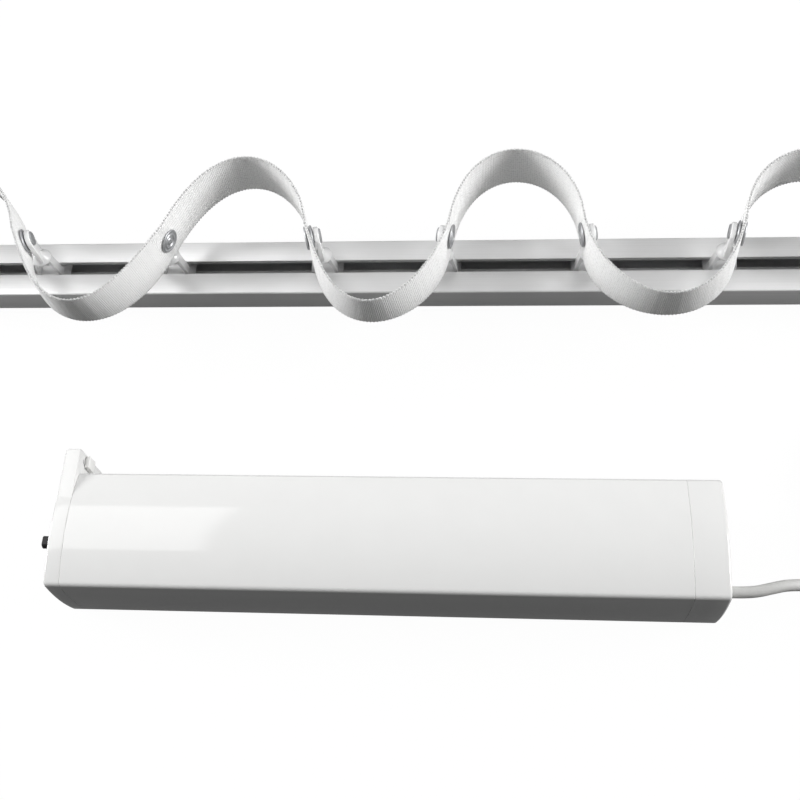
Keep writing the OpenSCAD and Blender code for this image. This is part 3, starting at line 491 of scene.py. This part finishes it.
# %% Rounded outline helper
def rounded(corners, radius, steps=6):
    """A convex outline whose corners are arcs of that radius."""
    corners = np.array(corners, float)
    out = []
    for k, here in enumerate(corners):
        before, after = corners[k - 1] - here, corners[(k + 1) % len(corners)] - here
        before, after = before / np.linalg.norm(before), after / np.linalg.norm(after)
        half = math.acos(np.clip(before @ after, -1, 1)) / 2
        middle = here + (before + after) / np.linalg.norm(before + after) * radius / math.sin(half)
        a = here + before * radius / math.tan(half) - middle
        b = here + after * radius / math.tan(half) - middle
        turn = math.atan2(a[0] * b[1] - a[1] * b[0], a @ b)
        for n in range(steps + 1):
            c, s = math.cos(turn * n / steps), math.sin(turn * n / steps)
            out.append(middle + (a[0] * c - a[1] * s, a[0] * s + a[1] * c))
    return np.array(out)


print("rounded square:", len(rounded([(0, 0), (4, 0), (4, 4), (0, 4)], 1)), "points")

# %% Plug and pins
SLEEVE, PLUG_LONG, PLUG_HALF, PLUG_RISE, PIN_LONG, PIN_GAP = 22, 32, 13, 7.5, 19, 18.6


def plug_outline(inset):
    w, h, c = PLUG_HALF - inset, PLUG_RISE - inset, 5
    return rounded([(-w, 0), (-w + c, -h), (w - c, -h), (w, 0), (w - c, h), (-w + c, h)], 2.2)


body = []
for y, inset in quarter_round(SLEEVE, SLEEVE + PLUG_LONG, 3.0, 1.2):
    ring = plug_outline(inset)
    body.append(np.c_[ring[:, 0], np.full(len(ring), y), ring[:, 1]])
grip = [(0.0, 0.0), (0.0, 3.2)]
for n in range(8):
    low, high = 3.5 + 2.5 * n / 8, 3.5 + 2.5 * (n + 0.4) / 8
    x = n * 2.6
    grip += [(0.4 + x, low - 0.6), (0.9 + x, high), (2.0 + x, high), (2.5 + x, low - 0.5)]
grip += [(SLEEVE + 1, 5.4), (SLEEVE + 1, 0)]
sleeve = turned(grip, 40)
sleeve = sleeve[0][:, [1, 0, 2]], sleeve[1]
plug = piece("flat_plug", moved(joined(skin(body), sleeve), coil_end), "plug_plastic", 40)
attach(plug, "track")
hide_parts("mains_plug")

pin = turned([(0, 0), (0, 2), (PIN_LONG - 1.6, 2), (PIN_LONG - 0.7, 1.7), (PIN_LONG - 0.1, 0.9),
              (PIN_LONG, 0)], 32)
pins = []
for side in (-1, 1):
    pins.append(moved((pin[0][:, [1, 0, 2]], pin[1]), (side * PIN_GAP / 2, SLEEVE + PLUG_LONG, 0)))
contacts = piece("plug_contacts", moved(joined(*pins), coil_end), "pin_brass", 30)
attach(contacts, "track")
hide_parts("plug_pins")
print("plug tips at Y", round(coil_end[1] + SLEEVE + PLUG_LONG + PIN_LONG, 1), "mm")

# %% Tie and bushing
TIE_X0, TIE_X1, TIE_Z0, TIE_Z1 = -39.475, -17.525, 0.8, 11.65
inner = rounded([(TIE_X0, TIE_Z0), (TIE_X1, TIE_Z0), (TIE_X1, TIE_Z1), (TIE_X0, TIE_Z1)], 2.4)
middle = np.array(((TIE_X0 + TIE_X1) / 2, (TIE_Z0 + TIE_Z1) / 2))
grow = lambda by: inner + by * (inner - middle) / np.abs(inner - middle).max(axis=1, keepdims=True)
band = []
for y, lift_out in ((-3, 0.1), (-2.8, 0), (2.8, 0), (3, 0.1),
                    (3, 0.6), (2.8, 0.7), (-2.8, 0.7), (-3, 0.6)):
    ring = grow(lift_out)
    band.append(np.c_[ring[:, 0], np.full(len(ring), y), ring[:, 1]])
tie = piece("coil_band", moved(skin(band, closed=True), (*coil_middle, 0)), "tie_plastic", 30)
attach(tie, "track")
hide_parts("coil_tie")

bushing = turned([(146.6, 0), (146.6, 4.3), (152.6, 4.3), (153.3, 4.0), (153.6, 3.3), (153.6, 0)])
bush = piece("cord_bush", moved(bushing, (0, GLAND_Y, GLAND_Z)), "cord_sheath", 40)
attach(bush, "track")
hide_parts("cord_gland")
print("tie round", len(inner), "points")

# %% [markdown]
# ## Where the hooks stand
#
# Eight hooks hold the tape: the master carrier, six runners, and the fixed end. Each lug is
# turned the way the tape happens to pull it. These few numbers place everything that belongs to
# a hook, so they come before the pieces.

# %% Hook places
hook_shift = (-2.5, -0.5, -2, 6.5, -1.5, 1, -2.5, 4.5)
hook_x = [(i - 3.5) * HOOK_PITCH + s for i, s in enumerate(hook_shift)]
hook_turn = [math.radians(a) for a in (10, 18, 22, 12.5, 11, 8, 12, 10)]
lug_turn = [-g if i % 2 == 0 else math.pi + g for i, g in enumerate(hook_turn)]
hook_body = ["master"] + [f"carrier_{i}" for i in range(1, 7)] + ["track"]
SNAP_Z, TAPE_OFF = 46.0, 3.8
lug_way = [np.array((math.cos(a), math.sin(a))) for a in lug_turn]
tape_way = [np.array((math.sin(g), math.cos(g) if i % 2 == 0 else -math.cos(g)))
            for i, g in enumerate(hook_turn)]
snap_at = [np.array((x, 0.0)) + TAPE_OFF * way for x, way in zip(hook_x, lug_way)]


def at_hook(shell, i, turn):
    c, s = math.cos(turn), math.sin(turn)
    x, y, z = shell[0].T
    return np.c_[x * c - y * s + hook_x[i], x * s + y * c, z], shell[1]


print("hooks at", [round(x) for x in hook_x])

# %% [markdown]
# ## Folded tape
#
# Between two snaps the tape stands on edge in one fold. In plan the fold is a smooth curve that
# leaves each snap straight, and whose length is the length of tape between snaps. The right
# bulge is found by halving. The tape itself is a flat loop of points swept along that curve; its
# ribs are a ripple of the surface, 0.8 mm apart. The folds on the near side lean out at their
# upper edge, as the photo shows. Each fold is a piece of its own.

# %% Fold curves
STRAIGHT, TIP_IN, TIP_OUT = 6.5, 2.5, 3.6
fold_lean = (0.5, 0, 0.3, 0.2, 0.1, -0.15, 0)


def fold_curve(i, pull, steps):
    a, d = snap_at[i] + STRAIGHT * tape_way[i], snap_at[i + 1] - STRAIGHT * tape_way[i + 1]
    b = a + pull * (1 + fold_lean[i]) * tape_way[i]
    c = d - pull * (1 - fold_lean[i]) * tape_way[i + 1]
    t = np.linspace(0, 1, steps + 1)[:, None]
    return a * (1 - t) ** 3 + 3 * b * t * (1 - t) ** 2 + 3 * c * t * t * (1 - t) + d * t ** 3


def fold_path(i):
    low, high = 0.0, TAPE_PITCH
    for _ in range(26):
        pull = (low + high) / 2
        long = length_of(fold_curve(i, pull, 20))
        low, high = (low, pull) if long > TAPE_PITCH - 2 * STRAIGHT else (pull, high)
    return np.vstack([[snap_at[i]], fold_curve(i, pull, 160), [snap_at[i + 1]]])


def evenly(path, count):
    """The same path in equal steps, with its direction at each point."""
    run = np.r_[0, np.cumsum(np.linalg.norm(np.diff(path, axis=0), axis=1))]
    s = np.linspace(0, run[-1], count)
    at = np.c_[np.interp(s, run, path[:, 0]), np.interp(s, run, path[:, 1])]
    way = np.gradient(at, s, axis=0)
    return s, at, way / np.linalg.norm(way, axis=1, keepdims=True)


def tipped(i, s, across):
    """How far a near fold leans out of the upright at a height: further out, and narrower."""
    share = s / s[-1]
    near = 1.0 if i % 2 else 0.0
    lean = np.c_[TIP_IN * np.sin(2 * np.pi * share), -TIP_OUT * np.sin(np.pi * share) ** 2]
    return near * across * lean


folds = [fold_path(i) for i in range(7)]
print("fold lengths:", [round(float(length_of(f)), 1) for f in folds])

# %% Tape pieces
TAPE_LOW, TAPE_THICK, RIB_MM, RIB_HIGH, SELVEDGE = 33.3, 1.2, 0.8, 0.05, 0.58
FLAT_IN, EDGE_IN, EDGE_ROUND = 1.4, 1.2, 0.6
rows = 4 * 135 + 1      # about four rings to a rib
edge = np.linspace(0, np.pi, 5)
faces_up = np.linspace(TAPE_LOW + FLAT_IN, TAPE_LOW + TAPE_WIDE - FLAT_IN, 9)
section = [(0.5, z) for z in faces_up]
section += [(0.5 * math.cos(a), TAPE_LOW + TAPE_WIDE - EDGE_IN + EDGE_ROUND * math.sin(a))
            for a in edge]
section += [(-0.5, z) for z in faces_up[::-1]]
section += [(-0.5 * math.cos(a), TAPE_LOW + EDGE_IN - EDGE_ROUND * math.sin(a)) for a in edge]
section = np.array(section)


def tape_mesh(i):
    s, at, way = evenly(folds[i], rows)
    out = np.c_[-way[:, 1], way[:, 0]]
    ripple = RIB_HIGH * np.cos(2 * np.pi * s / RIB_MM)
    rings, across, tip = [], (section[:, 1] - TAPE_LOW) / TAPE_WIDE, tipped(i, s, 1.0)
    ribbed = np.sign(section[:, 0]) * (np.abs(section[:, 0]) > 0.45)
    for k in range(rows):
        side = section[:, 0] * TAPE_THICK + ripple[k] * ribbed
        plan = at[k] + np.outer(side, out[k]) + np.outer(across, tip[k])
        rings.append(np.c_[plan, section[:, 1]])
    uv = np.vstack([np.c_[np.full(len(section), v / s[-1]), across] for v in s])
    return skin(rings), uv


tapes = []
for i in range(7):
    shell, uv = tape_mesh(i)
    made = piece(f"heading_tape_{i}", shell, "tape_webbing", 50)
    corner = np.empty(len(made.data.loops), int)
    made.data.loops.foreach_get("vertex_index", corner)
    corner_uv = uv[corner].astype(np.float32).ravel()
    made.data.uv_layers.new(name="tape").data.foreach_set("uv", corner_uv)
    tapes.append(made)
print("tape:", len(tapes), "folds of", len(tapes[0].data.polygons), "faces")

# %% [markdown]
# ## Picot edge
#
# Both edges of the tape have a picot: a row of small yarn loops. They repeat along a path, so
# Geometry Nodes make them. The edge line becomes a curve, the curve is cut into equal steps, and
# a small knot stands on each point. Realize Instances turns the knots into real faces.

# %% Picot node tree
picot = bpy.data.node_groups.new("picot_edge", "GeometryNodeTree")
face = picot.interface
face.new_socket("Geometry", in_out="INPUT", socket_type="NodeSocketGeometry")
spacing_id = face.new_socket("Spacing", in_out="INPUT", socket_type="NodeSocketFloat").identifier
size_id = face.new_socket("Knot Size", in_out="INPUT", socket_type="NodeSocketVector").identifier
yarn_id = face.new_socket("Yarn", in_out="INPUT", socket_type="NodeSocketMaterial").identifier
face.new_socket("Geometry", in_out="OUTPUT", socket_type="NodeSocketGeometry")
source, target = picot.nodes.new("NodeGroupInput"), picot.nodes.new("NodeGroupOutput")
curve = picot.nodes.new("GeometryNodeMeshToCurve")
steps = picot.nodes.new("GeometryNodeResampleCurve")
steps.mode = "LENGTH"
tangent = picot.nodes.new("GeometryNodeInputTangent")
along = picot.nodes.new("FunctionNodeAlignRotationToVector")
along.axis = "X"
knot = picot.nodes.new("GeometryNodeMeshUVSphere")
knot.inputs["Segments"].default_value, knot.inputs["Rings"].default_value = 7, 5
knot.inputs["Radius"].default_value = 1.0
stand = picot.nodes.new("GeometryNodeInstanceOnPoints")
real = picot.nodes.new("GeometryNodeRealizeInstances")
smooth = picot.nodes.new("GeometryNodeSetShadeSmooth")
dress = picot.nodes.new("GeometryNodeSetMaterial")
join = picot.links.new
join(source.outputs["Geometry"], curve.inputs["Mesh"])
join(curve.outputs["Curve"], steps.inputs["Curve"])
join(source.outputs["Spacing"], steps.inputs["Length"])
join(steps.outputs["Curve"], stand.inputs["Points"])
join(knot.outputs["Mesh"], stand.inputs["Instance"])
join(tangent.outputs["Tangent"], along.inputs["Vector"])
join(along.outputs["Rotation"], stand.inputs["Rotation"])
join(source.outputs["Knot Size"], stand.inputs["Scale"])
join(stand.outputs["Instances"], real.inputs["Geometry"])
join(real.outputs["Geometry"], smooth.inputs["Geometry"])
join(smooth.outputs["Geometry"], dress.inputs["Geometry"])
join(source.outputs["Yarn"], dress.inputs["Material"])
join(dress.outputs["Geometry"], target.inputs["Geometry"])
print("picot tree:", len(picot.nodes), "nodes")

# %% Picot pieces
PICOT_MM, KNOT_MM = 1.6, (0.64, 0.62, 0.58)


def picot_edge(i):
    s, at, way = evenly(folds[i], 216)
    lines, links = [], []
    for z in (TAPE_LOW + SELVEDGE, TAPE_LOW + TAPE_WIDE - SELVEDGE):
        base = len(lines)
        leant = at + tipped(i, s, (z - TAPE_LOW) / TAPE_WIDE)
        lines += [(x * MM, y * MM, z * MM) for x, y in leant]
        links += [(base + k, base + k + 1) for k in range(len(at) - 1)]
    mesh = bpy.data.meshes.new(f"tape_picot_{i}")
    mesh.from_pydata(lines, links, [])
    made = bpy.data.objects.new(f"tape_picot_{i}", mesh)
    bpy.context.scene.collection.objects.link(made)
    row = made.modifiers.new("picot", "NODES")
    row.node_group = picot
    row[spacing_id], row[yarn_id] = PICOT_MM * MM, webbing
    row[size_id] = tuple(v * MM for v in KNOT_MM)
    made = settled(made)
    if not made.data.uv_layers:
        made.data.uv_layers.new(name="tape")
    made.data.uv_layers[0].name = "tape"
    return made


for i, tape in enumerate(tapes):
    picots = picot_edge(i)
    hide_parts(f"tape_loop_{i}")
    for soft in (tape, picots):
        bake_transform(soft)
print("picots:", len(picots.data.polygons), "faces on the last fold")

# %% [markdown]
# ## Runners
#
# A runner is one polished moulding: a shoe that slides inside the rail, and an open arch that
# stands up through the slot. The arch is an outline drawn from the side and given a thickness,
# and a bevel rounds every edge, as a mould does.

# %% Runner moulding
ARCH_THICK, NECK, SHOE_LOW, SHOE_TOP, SHOE_HALF = 2.1, 2.85, 9.1, 17.5, 8.05
MASTER_SHOE, RUNNER_SHOE = 34, 16


def extruded(outline, half):
    """An outline in X and Z given a thickness along Y."""
    x, z = np.array(outline, float).T
    return skin([np.c_[x, np.full(len(x), y), z] for y in (-half, half)])


def upright_box(x0, x1, z0, z1):
    return [(x0, z0), (x1, z0), (x1, z1), (x0, z1)]


def softened(name, shell, slot, width, segments=3):
    made = piece(name, shell, slot, 40)
    round_off = made.modifiers.new("edges", "BEVEL")
    round_off.width, round_off.segments, round_off.limit_method = width * MM, segments, "ANGLE"
    round_off.angle_limit = math.radians(25)
    made = settled(made)
    made.data.shade_smooth()
    made.data.set_sharp_from_angle(angle=math.radians(40))
    return made


arch = [(-6.6, 16.4), (-6.2, 20.6), (-4.6, 29.0), (4.6, 29.0), (6.2, 20.6), (6.6, 16.4),
        (4.7, 16.4), (4.2, 21.4), (2.5, 27.0), (-2.5, 27.0), (-4.2, 21.4), (-4.7, 16.4)]
neck = [(-6.5, 16.2), (6.5, 16.2), (6.5, 17.0), (-6.5, 17.0)]


def shoe(length):
    h = length / 2
    return [(-h, SHOE_LOW + 2), (-h + 2, SHOE_LOW), (h - 2, SHOE_LOW), (h, SHOE_LOW + 2),
            (h - 3.4, SHOE_TOP), (-h + 3.4, SHOE_TOP)]


for i in range(7):
    parts = [extruded(arch, ARCH_THICK), extruded(neck, NECK),
             extruded(shoe(MASTER_SHOE if i == 0 else RUNNER_SHOE), SHOE_HALF)]
    if i == 0:          # the master grips the belt between two cheeks under a bridge
        for y0, y1, z0 in ((7.5, 9.45, 10.1), (11.45, 12.85, 10.1), (7.5, 12.85, 15.85)):
            parts.append(moved(extruded(upright_box(-13, 13, z0, 18.1), (y1 - y0) / 2),
                               (0, (y0 + y1) / 2, 0)))
    shell = at_hook(joined(*parts), i, 0)
    made = softened("master_runner" if i == 0 else f"glide_runner_{i}", shell, "hook_plastic", 0.45)
    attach(made, hook_body[i])
    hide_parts("master_carrier" if i == 0 else f"runner_{i}")
print("runner faces:", len(made.data.polygons))

# %% [markdown]
# ## Lugs
#
# Above each arch a flat lug swivels on a collar. Its outline is a rectangle with a round top,
# made smaller near both faces so that the edges are rounded. The collar and the swivel pin are
# lathe shapes. The fixed end has the same lug on a solid post.

# %% Lug moulding
LUG_HALF, LUG_ROUND = 1.2, 4.5


def lug_outline(inset, low):
    r = LUG_ROUND - inset
    top = [(r * math.cos(a), SNAP_Z + r * math.sin(a)) for a in np.linspace(0, math.pi, 25)]
    return np.array(top + [(-r, low), (r, low)])


def lug(low):
    rings = []
    for x, inset in quarter_round(-LUG_HALF, LUG_HALF, 0.5, 0.5):
        ring = lug_outline(inset, low)
        rings.append(np.c_[np.full(len(ring), x), ring])
    return skin(rings)


collar = upright(turned([(29.3, 0), (29.3, 4.4), (29.5, 4.9), (30.0, 5.0), (30.7, 4.6), (31.4, 4.0),
                         (32.2, 3.1), (33.2, 2.3), (34.4, 1.6), (35.5, 1.2), (35.5, 0)], 40))
swivel = upright(turned([(25.5, 0), (25.5, 1.6), (25.8, 2.2), (26.7, 2.2), (26.7, 1.5), (29.6, 1.5),
                         (29.6, 0)], 32))
post = extruded([(-6.6, 16.4), (6.6, 16.4), (6.6, 28.4), (6.0, 29.0), (-6.0, 29.0), (-6.6, 28.4)],
                NECK)
for i in range(8):
    turn = lug_turn[i]
    if i < 7:
        shell = at_hook(joined(lug(31.0), collar, swivel), i, turn)
        made = piece("master_lug" if i == 0 else f"swivel_lug_{i}", shell, "hook_plastic")
        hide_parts("master_pendant" if i == 0 else f"pendant_{i}")
    else:
        block = at_hook(joined(post, extruded(shoe(RUNNER_SHOE), SHOE_HALF)), i, 0)
        shell = joined(block, at_hook(lug(28.6), i, turn))
        made = softened("end_moulding", shell, "hook_plastic", 0.4)
        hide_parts("end_hook")
    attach(made, hook_body[i])
print("lugs: 8, each", len(made.data.polygons), "faces or fewer")

# %% [markdown]
# ## Snaps
#
# Each snap is pressed from plated brass: a stud riveted through the lug, a socket on the tape,
# and on the tape's other face a cap with rings rolled into it. All of it is round, so one
# profile for each part is turned about the snap's axis.

# %% Turned snaps
stud = turned([(-1.6, 0), (-1.6, 1.1), (-2.0, 1.6), (-2.1, 2.3), (-2.1, 3.0), (-1.8, 3.45),
               (-1.2, 3.5), (-1.2, 1.5), (1.2, 1.5), (1.2, 2.4), (1.6, 2.5), (2.1, 2.45),
               (2.35, 2.0), (2.4, 0)])
socket = turned([(2.45, 0), (2.45, 2.8), (1.6, 2.8), (1.6, 4.6), (1.75, 5.4), (2.1, 5.7),
                 (2.5, 5.65), (2.8, 5.2), (2.88, 4.4), (2.9, 0)])
cap = turned([(4.45, 0), (4.45, 5.3), (4.6, 5.6), (4.9, 5.7), (5.2, 5.6), (5.4, 5.3), (5.4, 4.9),
              (5.2, 4.6), (5.05, 4.3), (5.1, 3.95), (5.35, 3.75), (5.55, 3.4), (5.55, 3.05),
              (5.35, 2.75), (5.05, 2.6), (4.95, 2.3), (5.05, 2.0), (5.35, 1.8), (5.55, 1.4),
              (5.6, 0.8), (5.6, 0)])
rivet = turned([(2.6, 0), (2.6, 2), (5.0, 2), (5.0, 0)], 24)
snap_shell = joined(*(moved(part, (0, 0, SNAP_Z)) for part in (stud, socket, cap, rivet)))
for i in range(8):
    made = piece("master_popper" if i == 0 else "end_popper" if i == 7 else f"popper_{i}",
                 at_hook(snap_shell, i, lug_turn[i]), "snap_metal", 50)
    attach(made, hook_body[i])
    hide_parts("master_snap" if i == 0 else "end_snap" if i == 7 else f"snap_{i}")
print("snap faces:", len(made.data.polygons))

# %% [markdown]
# ## Motor casing
#
# The casing is three mouldings with one section: a slightly bowed near side, a crowned top and
# four different corner radii. The hanger plate goes on past the far side, with a flat top. A
# ring of points follows that section, drawn in by an inset, and a moulding is a skin through
# such rings. A small inset at the ends leaves the fine groove that shows as a seam, and a larger
# one rounds the outer edges.

# %% Casing section
MOTOR_X, HOUSE_X, SEAM_X, MOTOR_END, MOTOR_Y, AXIS_Z = -130.4, -123.7, 137.1, 151.6, -144.6, 20.1
HALF_W, EDGE_H, CROWN, SIDE_BOW = 25.7, 40.2, 4.4, 1.0
NEAR_TOP, FAR_TOP, NEAR_LOW, FAR_LOW = 2.5, 3.0, 5.5, 4.0
PLATE_FAR, PLATE_TOP, PLATE_ROUND = HALF_W + 10.0, EDGE_H + CROWN - 1.2, 1.0
crown_r = (HALF_W ** 2 + CROWN ** 2) / (2 * CROWN)
crown_z = EDGE_H + CROWN - crown_r


def casing_ring(x, inset, plate=False):
    def corner(y, r):
        a = math.acos(y / (crown_r - r))
        return np.array((y, crown_z + (crown_r - r) * math.sin(a))), a

    def arc(middle, r, a0, a1, n):
        a = np.linspace(a0, a1, n)
        return np.c_[middle[0] + (r - inset) * np.cos(a), middle[1] + (r - inset) * np.sin(a)]

    far, far_a = corner(HALF_W - FAR_TOP, FAR_TOP)
    near, near_a = corner(-HALF_W + NEAR_TOP, NEAR_TOP)
    side = PLATE_FAR if plate else HALF_W
    if plate:
        far_a = math.asin((PLATE_TOP - crown_z) / crown_r)
        middle = PLATE_FAR - PLATE_ROUND, PLATE_TOP - PLATE_ROUND
        far_top = arc(middle, PLATE_ROUND, 0, math.pi / 2, 12)
    else:
        far_top = arc(far, FAR_TOP, 0, far_a, 12)
    t = np.linspace(0, 1, 15)[1:-1]
    bow = np.c_[inset - HALF_W - 4 * SIDE_BOW * t * (1 - t), near[1] + (NEAR_LOW - near[1]) * t]
    ring = np.vstack([
        arc((-HALF_W + NEAR_LOW, NEAR_LOW), NEAR_LOW, math.pi, 1.5 * math.pi, 12),
        arc((side - FAR_LOW, FAR_LOW), FAR_LOW, 1.5 * math.pi, 2 * math.pi, 12),
        far_top, arc((0, crown_z), crown_r, far_a, near_a, 66)[1:-1],
        arc(near, NEAR_TOP, near_a, math.pi, 12), bow])
    ring[:, 0] += MOTOR_Y
    return np.c_[np.full(len(ring), x), ring]


print("crown radius", round(crown_r, 1), "mm")

# %% Housing, cap and plate
GROOVE, WALL = 0.22, 2.0
BUTTON_Y = MOTOR_Y + 16
tube = [(HOUSE_X, GROOVE), (HOUSE_X + GROOVE, 0), (SEAM_X - GROOVE, 0), (SEAM_X, GROOVE),
        (SEAM_X, WALL), (HOUSE_X, WALL)]
tube_shell = skin([casing_ring(x, inset) for x, inset in tube], closed=True)
housing = piece("motor_sleeve", tube_shell, "motor_plastic", 30)
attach(housing, "track")
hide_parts("motor_housing")


def drilled(made, cuts):
    """Cuts lathe shapes and blocks out of a moulding."""
    for n, shell in enumerate(cuts):
        tool = piece(f"cutter_{n}", shell, "motor_plastic")
        cut = made.modifiers.new("cut", "BOOLEAN")
        cut.operation, cut.solver, cut.object = "DIFFERENCE", "EXACT", tool
        settled(made)
        bpy.data.objects.remove(tool)
    made.data.shade_smooth()
    made.data.set_sharp_from_angle(angle=math.radians(30))
    return made


def bore(x0, x1, r, y, z):
    return moved(turned([(x0, 0), (x0, r), (x1, r), (x1, 0)]), (0, y, z))


corners = [(MOTOR_Y + s * (HALF_W - 4.4), z) for s in (-1, 1) for z in (4.4, EDGE_H - 4.4)]
cup = [(MOTOR_END - 2.5, WALL), (SEAM_X, WALL), (SEAM_X, GROOVE)]
cup += quarter_round(SEAM_X, MOTOR_END, GROOVE, 1.3)[1:]
cup_shell = skin([casing_ring(x, inset) for x, inset in cup])
end_moulding = piece("motor_end_cap", cup_shell, "motor_plastic", 30)
drilled(end_moulding, [bore(MOTOR_END - 3, MOTOR_END + 1, 3.65, BUTTON_Y, AXIS_Z),
                       bore(MOTOR_END - 6, MOTOR_END + 1, 4.35, GLAND_Y, GLAND_Z)]
        + [bore(MOTOR_END - 2, MOTOR_END + 1, 2.55, y, z) for y, z in corners])
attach(end_moulding, "track")
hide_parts("end_cap")

plate_shell = skin([casing_ring(x, inset, plate=True)
                    for x, inset in quarter_round(MOTOR_X, HOUSE_X, 0.8, GROOVE)])
plate = piece("motor_hanger", plate_shell, "motor_plastic", 30)
LATCH_Y, LATCH_LOW, LATCH_TOP = MOTOR_Y + PLATE_FAR - 3.5, 29.5, 36.5
window = extruded(upright_box(MOTOR_X - 1, HOUSE_X + 1, LATCH_LOW - 4.3, LATCH_TOP + 0.3), 2.0)
slit = extruded(upright_box(HOUSE_X - 3, HOUSE_X + 1, 37.2, 38.4), 1.0)
drilled(plate, [bore(MOTOR_X - 1, HOUSE_X + 1, 5, MOTOR_Y, AXIS_Z),
                bore(HOUSE_X - 5, HOUSE_X + 1, 8.55, MOTOR_Y, AXIS_Z),
                moved(window, (0, LATCH_Y, 0)), moved(slit, (0, LATCH_Y - 0.7, 0))]
        + [bore(MOTOR_X - 1, MOTOR_X + 2, 2.55, y, z) for y, z in corners])
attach(plate, "track")
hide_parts("hanger_plate")
print("casing faces:", [len(o.data.polygons) for o in (housing, end_moulding, plate)])

# %% [markdown]
# ## Eased edges of the rail and the end boxes
#
# The rail and the end boxes have the right shape, but no real edge is perfectly sharp: a die and
# a mould both leave a small radius that catches the light. A copy of each solid has its flat
# faces joined up again, and a narrow bevel then eases its edges.

# %% Eased copies
def eased(name, node, width):
    work = bmesh.new()
    work.from_mesh(nodes[node].data)
    bmesh.ops.remove_doubles(work, verts=work.verts, dist=1e-6)
    bmesh.ops.dissolve_limit(work, angle_limit=math.radians(1), verts=work.verts, edges=work.edges)
    mesh = bpy.data.meshes.new(name)
    work.to_mesh(mesh)
    work.free()
    mesh.transform(nodes[node].matrix_world)
    mesh.materials.append(finish[slot_of[node]])
    made = bpy.data.objects.new(name, mesh)
    bpy.context.scene.collection.objects.link(made)
    edges = made.modifiers.new("edges", "BEVEL")
    edges.width, edges.segments, edges.limit_method = width * MM, 2, "ANGLE"
    edges.angle_limit = math.radians(40)
    edges.use_clamp_overlap = True
    settled(made)
    made.data.shade_smooth()
    made.data.set_sharp_from_angle(angle=math.radians(35))
    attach(made, "track")
    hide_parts(node)
    return made


for name, node, width in (("extruded_rail", "track_rail", 0.25), ("drive_case", "drive_box", 0.6),
                          ("drive_lid", "drive_box_cover", 0.4), ("tail_case", "tail_box", 0.6),
                          ("tail_lid", "tail_box_cover", 0.4)):
    made = eased(name, node, width)
    print(name, len(made.data.polygons), "faces")

# %% [markdown]
# ## Small motor parts
#
# The latch slides in a window of the hanger plate and has a grip on both faces. The setting
# button is a small domed cap, and the casing is held by pan-head screws with a round recess.

# %% Latch and button
parts = [extruded(upright_box(MOTOR_X - 1.5, HOUSE_X + 1.5, LATCH_LOW + 0.2, LATCH_TOP - 0.2), 1.7)]
for x0 in (MOTOR_X - 2.15, HOUSE_X + 0.15):
    parts.append(extruded(upright_box(x0, x0 + 2, LATCH_LOW, LATCH_TOP), 2.7))
latch = softened("sliding_latch", moved(joined(*parts), (0, LATCH_Y, 0)), "latch_plastic", 0.35)
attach(latch, "latch")
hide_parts("release_latch")

flange = MOTOR_END - 2.8
dome = turned([(flange - 2, 0), (flange - 2, 4.7), (flange, 4.7), (flange, 3.5),
               (MOTOR_END + 1.0, 3.5), (MOTOR_END + 1.4, 3.2), (MOTOR_END + 1.55, 2.4),
               (MOTOR_END + 1.6, 0)])
button = piece("domed_button", moved(dome, (0, BUTTON_Y, AXIS_Z)), "button_plastic")
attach(button, "button")
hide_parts("set_button")
print("latch and button made")

# %% Casing screws
def screw(head_x, inward):
    """A screw whose head lies at head_x and whose shank goes inward, +1 or -1 along X."""
    profile = [(1.2, 0), (1.2, 1.25), (0.15, 1.3), (0, 1.5), (0, 2.0), (0.3, 2.4), (0.8, 2.5),
               (1.8, 2.5), (1.8, 1.3), (12, 1.3), (13, 0)]
    return turned([(head_x + inward * x, r) for x, r in profile], 24)


shells = [moved(screw(MOTOR_X + 0.2, 1), (0, y, z)) for y, z in corners]
shells += [moved(screw(MOTOR_END - 0.2, -1), (0, y, z)) for y, z in corners]
screws = piece("casing_screws", joined(*shells), "screw_steel")
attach(screws, "track")
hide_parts("motor_screws")
print("screws:", len(shells))

# %% [markdown]
# ## Last measures
#
# The boxes of the solids and of the dressed part are printed one after the other.

# %% Sizes and finish
dressed_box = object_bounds()
for name, box in (("solids", cad_box), ("dressed", dressed_box)):
    print(name, [[round(v, 4) for v in corner] for corner in box])
